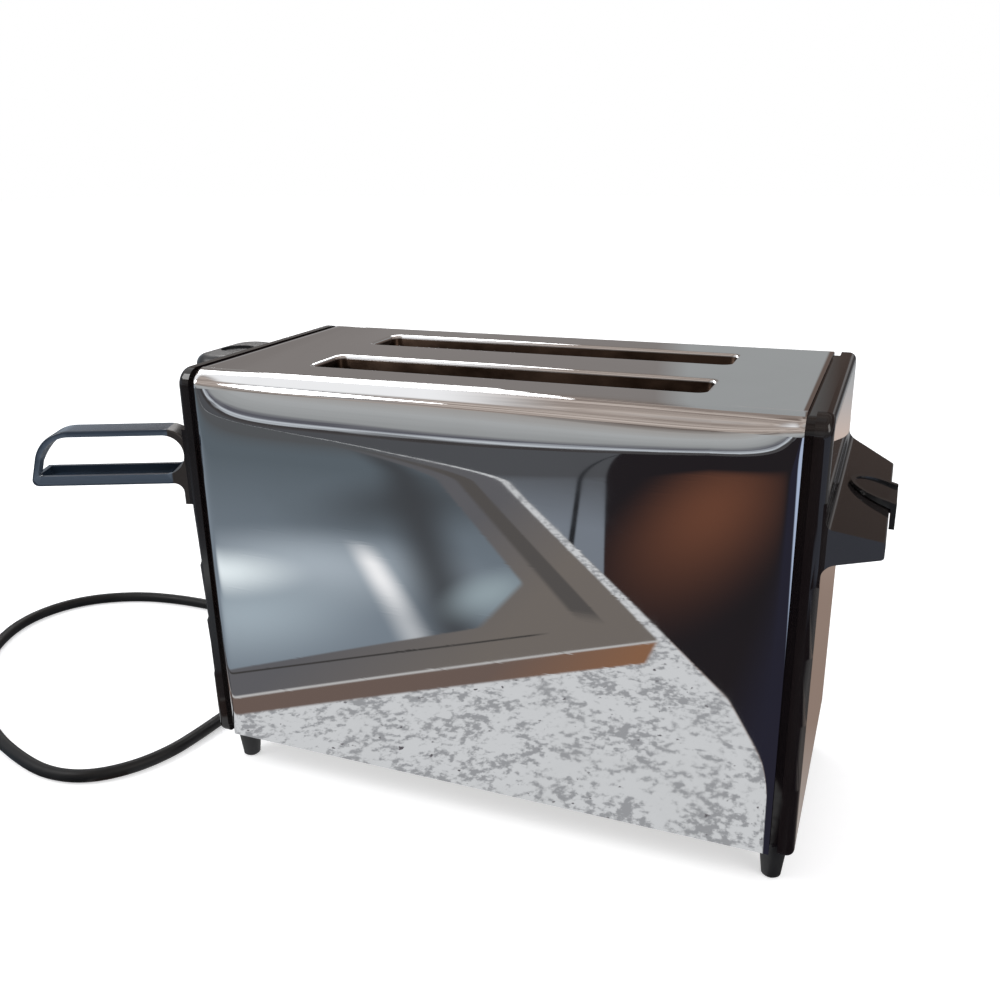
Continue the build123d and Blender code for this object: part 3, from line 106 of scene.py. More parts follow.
class Shader:
    """A node tree that is filled in a few short calls."""

    def __init__(self, name, tree=None):
        if tree is None:
            self.material = bpy.data.materials.new(name)
            self.material.use_nodes = True
            tree = self.material.node_tree
        self.tree = tree
        self.tree.nodes.clear()

    def node(self, kind, **settings):
        made = self.tree.nodes.new(kind)
        for key, value in settings.items():
            setattr(made, key, value)
        return made

    def link(self, start, end):
        self.tree.links.new(start, end)

    def put(self, socket, value):
        """A link, a number, or a tone of three parts, into a socket."""
        if isinstance(value, bpy.types.NodeSocket):
            self.link(value, socket)
        elif isinstance(value, tuple):
            socket.default_value = (*value, 1.0)
        else:
            socket.default_value = value

    def math(self, operation, *values):
        n = self.node("ShaderNodeMath", operation=operation)
        for socket, value in zip(n.inputs, values):
            self.put(socket, value)
        return n.outputs[0]

    def times(self, first, *others):
        for other in others:
            first = self.math("MULTIPLY", first, other)
        return first

    def distance(self, value, middle):
        return self.math("ABSOLUTE", self.math("SUBTRACT", value, middle))

    def coords(self, scale=(1.0, 1.0, 1.0)):
        coordinates = self.node("ShaderNodeTexCoord")
        return self.stretched(coordinates.outputs["Object"], scale)

    def stretched(self, vector, scale):
        mapping = self.node("ShaderNodeMapping")
        mapping.inputs["Scale"].default_value = scale
        self.link(vector, mapping.inputs["Vector"])
        return mapping.outputs["Vector"]

    def axes(self, vector=None):
        """The three parts of a vector, by default the object's own coordinates."""
        n = self.node("ShaderNodeSeparateXYZ")
        self.link(vector if vector is not None else self.coords(), n.inputs[0])
        return n.outputs

    def noise(self, scale, detail=3.0, roughness=0.55, vector=None, distortion=0.0):
        n = self.node("ShaderNodeTexNoise")
        n.inputs["Scale"].default_value = scale
        n.inputs["Detail"].default_value = detail
        n.inputs["Roughness"].default_value = roughness
        n.inputs["Distortion"].default_value = distortion
        self.link(vector if vector is not None else self.coords(), n.inputs["Vector"])
        return n.outputs["Fac"]

    def span(self, value, low, high, to_low=0.0, to_high=1.0, smooth=False):
        n = self.node("ShaderNodeMapRange", clamp=True)
        if smooth:
            n.interpolation_type = "SMOOTHSTEP"
        self.put(n.inputs["Value"], value)
        n.inputs["From Min"].default_value = low
        n.inputs["From Max"].default_value = high
        n.inputs["To Min"].default_value = to_low
        n.inputs["To Max"].default_value = to_high
        return n.outputs[0]

    def blend(self, share, a, b):
        n = self.node("ShaderNodeMix", data_type="RGBA")
        self.put(n.inputs["Factor"], share)
        self.put(n.inputs[6], a)
        self.put(n.inputs[7], b)
        return n.outputs[2]

    def fade(self, tone, value, low, high, other, smooth=False):
        """The tone where the value is below the low end, and the other one above the high end."""
        return self.blend(self.span(value, low, high, smooth=smooth), tone, other)

    def bump(self, height, strength, distance, normal=None):
        n = self.node("ShaderNodeBump")
        n.inputs["Strength"].default_value = strength
        n.inputs["Distance"].default_value = distance
        self.put(n.inputs["Height"], height)
        if normal is not None:
            self.link(normal, n.inputs["Normal"])
        return n.outputs["Normal"]

    def side(self, plan, line, soft):
        """0 below a line in plan and 1 above it, with a soft edge."""
        x, y = plan
        slope, (through_x, through_y) = line
        height = self.math("MULTIPLY_ADD", x, slope, through_y - slope * through_x)
        return self.span(self.math("SUBTRACT", y, height), -soft, soft, smooth=True)

    def ridge(self, plan, slope, rise, half_width, peak=1.0):
        """The peak on the line slope * x + rise in plan, falling to 0 beside it."""
        x, y = plan
        off = self.distance(y, self.math("MULTIPLY_ADD", x, slope, rise))
        return self.span(off, 0.0, half_width, peak, 0.0, smooth=True)

    def blob(self, plan, centre, radii):
        """1 at a point in plan, falling to 0 at an ellipse about it."""
        squares = []
        for value, middle, radius in zip(plan, centre, radii):
            part = self.math("DIVIDE", self.math("SUBTRACT", value, middle), radius)
            squares.append(self.times(part, part))
        return self.span(self.math("SQRT", self.math("ADD", *squares)), 0.0, 1.0, 1.0, 0.0, smooth=True)

    def spots(self, tone, plan, rows):
        """A tone with soft ellipses laid on it, each given as centre, radii and tone."""
        for centre, radii, color in rows:
            tone = self.blend(self.blob(plan, centre, radii), tone, color)
        return tone

    def ramp(self, value, stops):
        """Tones over a value, each stop given as the value and its tone."""
        n = self.node("ShaderNodeValToRGB")
        low, high = stops[0][0], stops[-1][0]
        self.link(self.span(value, low, high), n.inputs["Fac"])
        band = n.color_ramp
        for element, position, stop in zip(band.elements, (0.0, 1.0), (stops[0], stops[-1])):
            element.position = position
            element.color = (*stop[1], 1.0)
        for height, color in stops[1:-1]:
            band.elements.new((height - low) / (high - low)).color = (*color, 1.0)
        return n.outputs["Color"]

    def edge_wear(self, share):
        geometry = self.node("ShaderNodeNewGeometry")
        return self.times(self.span(geometry.outputs["Pointiness"], 0.52, 0.6), share)

    def principled(self, color, roughness, normal=None, **fixed):
        shader = self.node("ShaderNodeBsdfPrincipled")
        self.put(shader.inputs["Base Color"], color)
        self.put(shader.inputs["Roughness"], roughness)
        if normal is not None:
            self.link(normal, shader.inputs["Normal"])
        for key, value in fixed.items():
            shader.inputs[key.replace("_", " ")].default_value = value
        output = self.node("ShaderNodeOutputMaterial")
        self.link(shader.outputs[0], output.inputs["Surface"])
        return self.material


def scaled(color, factor, added):
    return tuple(part * factor + added for part in color)


def painted_shade_share(s, x, across, z):
    """1 on the slots' lips and on the sheet's inside, where a brown-black shade is painted."""
    inside = s.math("LESS_THAN", s.distance(across, SLOT_OFFSET), SLOT_HALF + SLOT_ROOM)
    length = s.math("LESS_THAN", s.distance(x, SLOT_X), SLOT_LENGTH / 2 + SLOT_ROOM)
    sunk = s.span(s.math("SUBTRACT", BODY_TOP, z), SLOT_SHADE_FROM, SLOT_SHADE_FULL, smooth=True)
    under = s.math("LESS_THAN", z, BODY_TOP - INSIDE_BELOW)
    within = s.math("LESS_THAN", across, HALF_DEPTH - INSIDE_BEHIND)
    return s.math("MAXIMUM", s.times(inside, length, sunk), s.times(under, within))


def sheet_height(s, x, across, z):
    """Height of the soft fullness below the shoulder, less the roll at the sheet's two ends."""
    along = s.math("DIVIDE", s.distance(x, SHELL_X), HALF_LENGTH)
    ends = s.math("POWER", along, END_POWER)
    facing = s.span(across, HALF_DEPTH - SHOULDER_WIDTH, HALF_DEPTH, SHOULDER_LEAST, 1.0)
    full = s.math("SUBTRACT", 1.0, s.times(ends, facing))
    thin = s.math("POWER", s.span(x, SWELL_THIN_FROM, SWELL_THIN_TO), 2.0)
    thin = s.math("MULTIPLY_ADD", thin, SWELL_THIN, 1.0)
    down = s.times(s.math("SUBTRACT", BODY_TOP, z), thin)
    near = s.span(down, 0.0, SWELL_DEPTH, 1.0, 0.0)
    crown = s.times(s.math("POWER", near, SWELL_POWER), full)
    roll = s.times(s.math("POWER", along, ROLL_POWER), ROLL_RISE)
    return s.math("SUBTRACT", s.times(crown, -SWELL_RISE), roll)


def chrome_material(name, pressed):
    """Mirror chrome with faint smudges. The pressed sheet also has its fullness, and painted shade in its
    slots and on its inside.
    """
    s = Shader(name)
    smudge = s.noise(14.0, 5.0, 0.62, distortion=0.6)
    wipe = s.noise(90.0, 3.0, 0.6, vector=s.coords((1.0, 0.35, 0.5)))
    rough = s.math("ADD", s.span(smudge, 0.45, 0.72, 0.018, 0.05), s.span(wipe, 0.55, 0.8, 0.0, 0.025))
    dull = s.span(smudge, 0.5, 0.75, 0.0, 0.5)
    color = s.blend(dull, (0.83, 0.835, 0.85), (0.76, 0.765, 0.77))
    normal = None
    if pressed:
        x, y, z = s.axes()
        across = s.distance(y, SHELL_Y)
        painted_shade = painted_shade_share(s, x, across, z)
        # Painted shade: a mottled brown-black tone laid in the slots and on the sheet's inside
        shade_tone = s.noise(70.0, 4.0, 0.6, vector=s.coords((0.5, 1.0, 1.0)))
        shade_tone = s.fade((0.010, 0.006, 0.004), shade_tone, 0.35, 0.65, (0.040, 0.026, 0.019))
        color = s.blend(painted_shade, color, shade_tone)
        rough = s.math("ADD", rough, s.times(painted_shade, 0.30))
        normal = s.bump(sheet_height(s, x, across, z), 1.0, 1.0)
    normal = s.bump(s.noise(9.0, 1.0, 0.4), 0.35, 0.0003, normal)
    scratches = s.noise(420.0, 2.0, 0.5, vector=s.coords((0.12, 1.0, 1.0)))
    normal = s.bump(s.span(scratches, 0.62, 0.8), 0.05, 0.00003, normal)
    return s.principled(color, rough, normal, Metallic=1.0)


def gloss_plastic(name, color, worn, roughness, grain):
    s = Shader(name)
    cloud = s.noise(22.0, 4.0, 0.6)
    tone = s.blend(s.span(cloud, 0.35, 0.7, 0.0, 0.6), color, scaled(color, 1.35, 0.002))
    tone = s.blend(s.edge_wear(0.5), tone, worn)
    rough = s.span(cloud, 0.3, 0.75, roughness * 0.8, roughness * 1.6)
    normal = s.bump(cloud, 0.06, 0.0003)
    normal = s.bump(s.noise(1900.0, 2.0, 0.5), grain, 0.00004, normal)
    return s.principled(tone, rough, normal, IOR=1.5)


def handle_material():
    """Black moulding with a blue tint that is a painted reflection, and a duller brown-black root at the
    end cap.
    """
    s = Shader("handle_black")
    x, y, z = s.axes()
    out = s.times(s.math("SUBTRACT", HANDLE_CORNER[0], x), math.cos(HANDLE_SPLAY))
    forward = s.times(s.math("SUBTRACT", HANDLE_CORNER[1], y), math.sin(HANDLE_SPLAY))
    out = s.math("ADD", out, forward)
    root = s.span(out, HANDLE_ROOT - HANDLE_BLEND, HANDLE_ROOT + HANDLE_BLEND, 1.0, 0.0)
    cloud = s.noise(22.0, 4.0, 0.6)
    # Painted reflection: the blue in the base and edge tones; the lightening at the edges itself is wear
    tone = s.blend(s.span(cloud, 0.35, 0.7, 0.0, 0.6), (0.016, 0.026, 0.042), (0.025, 0.040, 0.062))
    tone = s.blend(s.edge_wear(0.6), tone, (0.12, 0.15, 0.19))
    tone = s.blend(root, tone, (0.024, 0.019, 0.017))
    rough = s.math("ADD", s.span(cloud, 0.3, 0.75, 0.16, 0.27), s.times(root, 0.2))
    normal = s.bump(cloud, 0.12, 0.0003)
    normal = s.bump(s.noise(1900.0, 2.0, 0.5), 0.05, 0.00004, normal)
    return s.principled(tone, rough, normal, IOR=1.52)


def matte_plastic(name, color, worn, roughness, grain=0.25):
    s = Shader(name)
    cloud = s.noise(35.0, 4.0, 0.6)
    tone = s.blend(s.span(cloud, 0.35, 0.7, 0.0, 0.7), color, scaled(color, 1.4, 0.003))
    tone = s.blend(s.edge_wear(0.6), tone, worn)
    rough = s.span(cloud, 0.3, 0.75, roughness * 0.85, roughness * 1.25)
    return s.principled(tone, rough, s.bump(s.noise(1500.0, 3.0, 0.6), grain, 0.00006))


def sheet_metal(name, color, stain, roughness):
    s = Shader(name)
    cloud = s.noise(18.0, 5.0, 0.65)
    brush = s.noise(900.0, 2.0, 0.6, vector=s.coords((1.0, 0.05, 1.0)))
    tone = s.fade(color, cloud, 0.4, 0.75, stain)
    rough = s.span(cloud, 0.35, 0.75, roughness, roughness * 1.6)
    rough = s.math("ADD", rough, s.span(brush, 0.3, 0.7, 0.0, 0.1))
    return s.principled(tone, rough, s.bump(brush, 0.12, 0.00005), Metallic=1.0)


def rubber_material(name, color, roughness, grain, specular=0.5):
    s = Shader(name)
    cloud = s.noise(60.0, 4.0, 0.6)
    tone = s.blend(s.span(cloud, 0.35, 0.72, 0.0, 0.8), color, scaled(color, 1.5, 0.004))
    rough = s.span(cloud, 0.3, 0.75, roughness * 0.85, roughness * 1.3)
    normal = s.bump(s.noise(2200.0, 2.0, 0.5), grain, 0.00005)
    return s.principled(tone, rough, normal, Specular_IOR_Level=specular)


def mica_material():
    s = Shader("mica_card")
    flake = s.noise(55.0, 6.0, 0.7, distortion=1.2)
    tone = s.fade((0.36, 0.30, 0.22), flake, 0.35, 0.7, (0.22, 0.17, 0.12))
    rough = s.span(flake, 0.3, 0.7, 0.35, 0.6)
    return s.principled(tone, rough, s.bump(flake, 0.3, 0.0002), Sheen_Weight=0.1)


chrome = chrome_material("polished_chrome", False)
shell_chrome = chrome_material("shell_chrome", True)
cap_black = gloss_plastic("cap_black", (0.0062, 0.0042, 0.0042), (0.02, 0.018, 0.018), 0.055, 0.012)
handle_black = handle_material()
slider_black = gloss_plastic("slider_black", (0.005, 0.005, 0.006), (0.03, 0.03, 0.03), 0.06, 0.012)
knob_black = matte_plastic("knob_black", (0.012, 0.012, 0.014), (0.05, 0.05, 0.05), 0.32, 0.12)
foot_black = rubber_material("foot_rubber", (0.012, 0.012, 0.013), 0.5, 0.35)
cord_black = rubber_material("cord_rubber", (0.0045, 0.0045, 0.005), 0.46, 0.12, 0.32)
plug_black = rubber_material("plug_rubber", (0.010, 0.010, 0.011), 0.45, 0.3)
pan_steel = sheet_metal("pan_steel", (0.50, 0.50, 0.49), (0.36, 0.34, 0.31), 0.34)
inner_steel = sheet_metal("inner_steel", (0.40, 0.385, 0.36), (0.24, 0.20, 0.16), 0.38)
wire_steel = sheet_metal("wire_steel", (0.42, 0.40, 0.37), (0.22, 0.17, 0.13), 0.33)
mica = mica_material()
ribbon_metal = sheet_metal("ribbon_metal", (0.24, 0.21, 0.19), (0.15, 0.12, 0.10), 0.45)
magnet_metal = sheet_metal("magnet_metal", (0.30, 0.24, 0.19), (0.2, 0.15, 0.12), 0.4)
pale_plastic = matte_plastic("pale_plastic", (0.62, 0.59, 0.52), (0.7, 0.68, 0.62), 0.45)
brass = sheet_metal("blade_brass", (0.72, 0.58, 0.32), (0.55, 0.43, 0.24), 0.25)

finishes = {
    "chrome_shell": shell_chrome,
    "left_end_plate": chrome,
    "right_end_plate_upper": chrome,
    "right_end_plate_lower": chrome,
    "left_end_cap": cap_black,
    "right_end_cap": cap_black,
    "side_handle": handle_black,
    "handle_screws": pan_steel,
    "base_pan": pan_steel,
    "pan_screws": pan_steel,
    "crumb_tray": pan_steel,
    "tray_hinge_pin": pan_steel,
    "left_bulkhead": inner_steel,
    "right_bulkhead": inner_steel,
    "guide_rod": pan_steel,
    "return_spring": wire_steel,
    "slide_bush": pale_plastic,
    "carriage_bracket": inner_steel,
    "bread_rack_front": wire_steel,
    "bread_rack_back": wire_steel,
    "lever_arm": inner_steel,
    "lever_knob": knob_black,
    "armature": magnet_metal,
    "hold_magnet": magnet_metal,
    "timer_box": knob_black,
    "terminal_block": pale_plastic,
    "slider_rail": pan_steel,
    "slider_carrier": knob_black,
    "slider_knob": slider_black,
    "cord_gland": plug_black,
    "plug_body": plug_black,
    "plug_blades": brass,
}
families = {
    "foot_": foot_black,
    "heater_card": mica,
    "heater_ribbon": ribbon_metal,
    "bread_guard": wire_steel,
}
for name in nodes:
    for start, finish in families.items():
        if name.startswith(start):
            finishes[name] = finish

# Edges that are broken a little, in millimetres, so that they catch the light
edge_breaks = {
    "chrome_shell": 0.35,
    "left_end_plate": 0.2,
    "right_end_plate_upper": 0.2,
    "right_end_plate_lower": 0.2,
    "side_handle": 0.6,
    "lever_knob": 0.3,
    "slider_knob": 0.3,
    "base_pan": 0.2,
    "crumb_tray": 0.2,
    "plug_body": 0.3,
}
SHARP_ANGLE = math.radians(32)
BREAK_ANGLE = math.radians(50)

for name, finish in finishes.items():
    piece = nodes[name]
    piece.data.materials.clear()
    piece.data.materials.append(finish)
    piece.data.shade_smooth()
    piece.data.set_sharp_from_angle(angle=SHARP_ANGLE)
    if name in edge_breaks:
        bevel = piece.modifiers.new("edge_break", "BEVEL")
        bevel.width = edge_breaks[name] / 1000
        bevel.segments = 2
        bevel.limit_method = "ANGLE"
        bevel.angle_limit = BREAK_ANGLE
        bevel.harden_normals = True


# Mains lead, as control points in millimetres from the shell's left front corner
CORD_DIAMETER = 0.006
LEAD = [
    (4.0, 69.0, 10.0),
    (-10.0, 60.3, 8.0),
    (-22.0, 48.0, 4.4),
    (-29.5, 32.0, 3.0),
    (-31.0, 14.0, 3.0),
    (-34.0, -5.0, 3.0),
    (-42.5, -22.5, 3.0),
    (-57.0, -35.5, 3.0),
    (-76.0, -39.0, 3.0),
    (-98.0, -34.0, 3.0),
    (-124.0, -24.0, 3.0),
    (-151.0, -7.5, 3.0),
    (-180.0, 18.0, 3.0),
    (-204.0, 49.0, 3.0),
    (-214.0, 83.0, 3.0),
    (-203.0, 114.0, 3.0),
    (-174.0, 133.0, 3.0),
    (-140.0, 138.5, 3.0),
    (-105.0, 137.0, 3.0),
    (-70.0, 138.5, 3.0),
    (-36.0, 142.0, 3.0),
    (-4.0, 143.0, 3.0),
    (19.0, 143.0, 3.0),
]
TAIL = [
    (31.0, 143.0, 9.5),
    (50.0, 143.0, 9.5),
    (71.0, 141.0, 5.0),
    (91.0, 138.5, 3.2),
    (107.0, 138.0, 6.4),
    (122.0, 138.0, 6.4),
]
COIL_MIDDLE = (25.0, 179.5)
COIL_OUTER = 36.5
COIL_PITCH = 6.5
COIL_BOTTOM = 3.0
COIL_RISE = 6.5
COIL_TURNS = 2
CLIMB_TURNS = 0.5
TURN_POINTS = 16
CONTROL_SPREAD = 1.012


def corner(x, y, z):
    """Millimetres from the shell's left front corner to the row frame in metres."""
    return Vector((x / 1000 - HALF_LENGTH + SHELL_X, y / 1000 - HALF_DEPTH + SHELL_Y, z / 1000))


def coil_points():
    """Control points of the put-away turns, in on the lower layer and out again on the upper one."""
    points = []
    for number in range(TURN_POINTS * COIL_TURNS + 1):
        turns = number / TURN_POINTS
        radius = (COIL_OUTER - COIL_PITCH * min(turns, COIL_TURNS - turns)) * CONTROL_SPREAD
        climb = (turns - COIL_TURNS / 2 + CLIMB_TURNS / 2) / CLIMB_TURNS
        climb = min(max(climb, 0.0), 1.0)
        angle = 2 * math.pi * turns - math.pi / 2
        x = COIL_MIDDLE[0] + radius * math.cos(angle)
        y = COIL_MIDDLE[1] + radius * math.sin(angle)
        points.append((x, y, COIL_BOTTOM + COIL_RISE * climb * climb * (3 - 2 * climb)))
    return points


def cord_curve(name, points):
    curve = bpy.data.curves.new(name, "CURVE")
    curve.dimensions = "3D"
    curve.bevel_depth = CORD_DIAMETER / 2
    curve.bevel_resolution = 6
    curve.resolution_u = 8
    curve.use_fill_caps = True
    spline = curve.splines.new("NURBS")
    spline.points.add(len(points) - 1)
    for control, place in zip(spline.points, points):
        control.co = (*corner(*place), 1.0)
    spline.order_u = 3
    spline.use_endpoint_u = True
    piece = bpy.data.objects.new(name, curve)
    scene.collection.objects.link(piece)
    piece.data.materials.append(cord_black)
    return piece


lead = cord_curve("mains_lead", LEAD + coil_points() + TAIL)
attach(lead, "root")
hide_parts("cord_lead", "cord_coil", "cord_tail")


# Tone fields of the floor, in plan in the row frame. A line is its slope and a point on it.
TOP_EDGE = (1.33, (0.106, -0.185))
TOP_CORNER = (2.15, (0.106, -0.185))
SLAB_SIDE = (1.33, (0.040, -0.262))
SLAB_FRONT = (-0.698, (-0.125, -0.083))
SLAB_LIP_LOW = (-0.74, (-0.0875, -0.1345))
SLAB_LIP_HIGH = (-0.74, (-0.0875, -0.1315))
GROOVE_LOW = (-0.74, (-0.0997, -0.1580))
GROOVE_HIGH = (-0.74, (-0.0997, -0.1555))
BEVEL_OUTER = (1.31, (-0.047, -0.341))
BEVEL_INNER = (1.31, (-0.065, -0.341))
BOWL_SIDE = (1.30, (-0.080, -0.336))
BOWL_FRONT = (-0.90, (-0.1197, -0.1539))
SEAM_RIGHT = (3.7, (-0.0680, -0.4875))
SEAM_LEFT = (3.7, (-0.0725, -0.4875))
DARK_SIDE = (3.6, (-0.027, -0.42))

# Soft ellipses in the cool bowl, each with its centre, radii and tone
BOWL_SPOTS = [
    ((-0.20, -0.43), (0.11, 0.13), (0.075, 0.085, 0.095)),
    ((-0.20, -0.270), (0.15, 0.09), (0.44, 0.50, 0.55)),
    ((-0.19, -0.185), (0.10, 0.085), (0.40, 0.47, 0.52)),
]
BOWL_LIGHTS = [
    ((-0.062, -0.270), (0.034, 0.060), (0.33, 0.40, 0.43)),
    ((-0.250, -0.238), (0.075, 0.050), (0.90, 0.98, 1.0)),
]
COPPER_SPOT = ((0.040, -0.50), (0.080, 0.30), (0.15, 0.060, 0.036))


def around_tones(s, plan):
    """Rings of grey about the toaster, with a warm zone behind its right end."""
    x, y = plan
    squares = [s.math("POWER", s.math("SUBTRACT", x, SHELL_X), 2.0)]
    squares.append(s.math("POWER", s.math("SUBTRACT", y, SHELL_Y), 2.0))
    reach = s.math("SQRT", s.math("ADD", *squares))
    around = s.fade((0.60, 0.60, 0.595), reach, 0.13, 0.30, (0.17, 0.18, 0.19), smooth=True)
    around = s.fade(around, reach, 0.34, 0.62, (0.40, 0.41, 0.42), smooth=True)
    around = s.fade(around, reach, 0.8, 2.0, (0.10, 0.10, 0.105), smooth=True)
    warm = s.fade((0.27, 0.20, 0.165), reach, 0.25, 0.55, (0.60, 0.48, 0.42), smooth=True)
    return s.fade(around, s.blob(plan, (0.17, 0.34), (0.13, 0.62)), 0.0, 0.6, warm)


def bowl_tones(s, plan):
    """Cool steel tones with a dark band, two soft lights and a bright streak."""
    y = plan[1]
    bowl = s.fade((0.115, 0.140, 0.160), y, -0.50, -0.20, (0.21, 0.25, 0.29))
    bowl = s.spots(bowl, plan, BOWL_SPOTS)
    bowl = s.blend(s.ridge(plan, 1.6, -0.117, 0.060, peak=0.9), bowl, (0.060, 0.064, 0.070))
    bowl = s.spots(bowl, plan, BOWL_LIGHTS)
    starts = s.span(y, -0.330, -0.290)
    ends = s.span(y, -0.272, -0.21, 1.0, 0.38, smooth=True)
    streak = s.times(s.ridge(plan, 1.2, -0.1006, 0.022), starts, ends)
    return s.blend(streak, bowl, (1.0, 1.0, 1.0))


def slab_tones(s, plan):
    """The bowl in its flat rim, which has a bevel, a groove, a bright lip and a brown front."""
    x, y = plan
    bevel = s.math("SUBTRACT", s.side(plan, BEVEL_OUTER, 0.002), s.side(plan, BEVEL_INNER, 0.004))
    bevel = s.times(bevel, s.span(y, -0.265, -0.250, 1.0, 0.0))
    groove = s.math("SUBTRACT", s.side(plan, GROOVE_LOW, 0.001), s.side(plan, GROOVE_HIGH, 0.001))
    groove = s.times(groove, s.span(x, -0.015, -0.005, 1.0, 0.0))
    rim = s.fade((0.128, 0.126, 0.134), x, -0.13, -0.03, (0.182, 0.160, 0.143))
    rim = s.blend(bevel, rim, (0.098, 0.090, 0.085))
    rim = s.blend(groove, rim, (0.050, 0.047, 0.045))
    slab = s.blend(s.side(plan, BOWL_SIDE, 0.003), rim, bowl_tones(s, plan))
    slab = s.blend(s.side(plan, BOWL_FRONT, 0.002), slab, rim)
    slab = s.fade(slab, x, -0.050, -0.045, rim)
    brown = s.fade((0.165, 0.118, 0.100), x, -0.02, 0.05, (0.27, 0.135, 0.075))
    slab = s.blend(s.side(plan, SLAB_LIP_LOW, 0.0015), slab, (0.56, 0.55, 0.54))
    slab = s.blend(s.side(plan, SLAB_LIP_HIGH, 0.0015), slab, brown)
    return s.fade((0.10, 0.105, 0.11), y, -1.1, -0.6, slab)


def dark_tones(s, plan):
    """A dark field with a copper glow, a grey front with a seam left of it, and light far right."""
    x, y = plan
    dark = s.spots((0.018, 0.015, 0.017), plan, [COPPER_SPOT])
    grey = s.fade((0.085, 0.088, 0.095), y, -0.58, -0.42, (0.20, 0.225, 0.26))
    seam = s.math("SUBTRACT", s.side(plan, SEAM_RIGHT, 0.004), s.side(plan, SEAM_LEFT, 0.004))
    grey = s.blend(seam, grey, (0.022, 0.023, 0.026))
    dark = s.blend(s.side(plan, DARK_SIDE, 0.003), dark, grey)
    dark = s.fade(dark, x, 0.100, 0.130, (0.022, 0.021, 0.034), smooth=True)
    return s.fade(dark, x, 0.26, 0.34, (0.44, 0.52, 0.68), smooth=True)


def stone_tones(s, place):
    """Pale stone with grey blotches and a few dark specks."""
    coarse = s.noise(48.0, 5.0, 0.7, vector=place)
    fine = s.noise(230.0, 4.0, 0.6, vector=place)
    blotch = s.times(coarse, fine)
    stone = s.fade((0.69, 0.70, 0.705), blotch, 0.23, 0.32, (0.36, 0.365, 0.375), smooth=True)
    specks = s.noise(170.0, 2.0, 0.5, vector=place)
    return s.fade(stone, specks, 0.69, 0.72, (0.12, 0.11, 0.12))


def front_tones(s, plan, place):
    """What the front face mirrors: a stone top that holds the slab, and the dark field past its edge."""
    x = plan[0]
    dark = dark_tones(s, plan)
    top = s.times(s.side(plan, TOP_EDGE, 0.002), s.side(plan, TOP_CORNER, 0.002))
    front = s.blend(top, dark, slab_tones(s, plan))
    near = s.math("MAXIMUM", s.side(plan, SLAB_FRONT, 0.002), s.span(x, 0.0550, 0.0575))
    beside = s.math("SUBTRACT", 1.0, s.side(plan, SLAB_SIDE, 0.002))
    stone_share = s.times(s.math("MAXIMUM", near, beside), top)
    front = s.blend(stone_share, front, stone_tones(s, place))
    return s.fade(front, x, 0.1405, 0.1425, dark)


def floor_material():
    """White sweep that keeps the shadow, and soft tone fields on it that only the reflections show."""
    s = Shader("floor")
    geometry = s.node("ShaderNodeNewGeometry")
    place = geometry.outputs["Position"]
    x, y, z = s.axes(place)
    plan = (x, y)
    seen = s.blend(s.span(y, -0.05, 0.0, smooth=True), front_tones(s, plan, place), around_tones(s, plan))
    path = s.node("ShaderNodeLightPath")
    diffuse = s.node("ShaderNodeBsdfDiffuse")
    s.put(diffuse.inputs["Color"], (0.84, 0.84, 0.845))
    lift = s.node("ShaderNodeEmission")
    s.put(lift.inputs["Color"], (1.0, 1.0, 1.0))
    s.link(s.times(path.outputs["Is Camera Ray"], 0.46), lift.inputs["Strength"])
    plain = s.node("ShaderNodeAddShader")
    s.link(diffuse.outputs[0], plain.inputs[0])
    s.link(lift.outputs[0], plain.inputs[1])
    glow = s.node("ShaderNodeEmission")
    s.link(seen, glow.inputs["Color"])
    mix = s.node("ShaderNodeMixShader")
    s.link(path.outputs["Is Glossy Ray"], mix.inputs[0])
    s.link(plain.outputs[0], mix.inputs[1])
    s.link(glow.outputs[0], mix.inputs[2])
    one_sided = s.node("ShaderNodeMixShader")
    s.link(geometry.outputs["Backfacing"], one_sided.inputs[0])
    s.link(mix.outputs[0], one_sided.inputs[1])
    s.link(s.node("ShaderNodeBsdfTransparent").outputs[0], one_sided.inputs[2])
    s.link(one_sided.outputs[0], s.node("ShaderNodeOutputMaterial").inputs["Surface"])
    return s.material


FLOOR_HALF = 6.0
floor_mesh = bpy.data.meshes.new("floor")
bm = bmesh.new()
bmesh.ops.create_grid(bm, x_segments=1, y_segments=1, size=FLOOR_HALF)
bm.to_mesh(floor_mesh)
bm.free()
floor = bpy.data.objects.new("floor", floor_mesh)
floor.location = (SHELL_X, 0.0, 0.0)
scene.collection.objects.link(floor)
floor.data.materials.append(floor_material())

# World: tones over a direction's height, behind and before the toaster
HORIZON = [
    (-0.05, (0.10, 0.10, 0.105)),
    (0.005, (0.05, 0.045, 0.045)),
]
BEHIND = HORIZON + [
    (0.03, (0.20, 0.185, 0.175)),
    (0.10, (0.40, 0.39, 0.39)),
    (0.135, (0.44, 0.43, 0.43)),
    (0.155, (0.25, 0.23, 0.22)),
    (0.25, (0.22, 0.20, 0.19)),
    (0.42, (0.25, 0.225, 0.21)),
    (0.50, (0.14, 0.11, 0.095)),
    (0.54, (0.50, 0.44, 0.40)),
]
BEFORE = HORIZON + [
    (0.03, (0.62, 0.66, 0.70)),
    (0.07, (0.10, 0.10, 0.12)),
    (0.13, (0.34, 0.35, 0.35)),
    (0.30, (0.44, 0.45, 0.45)),
    (0.44, (0.38, 0.36, 0.34)),
    (0.50, (0.16, 0.13, 0.115)),
    (0.54, (0.45, 0.40, 0.36)),
]
ROOM_LIGHT = (0.74, 0.745, 0.76)


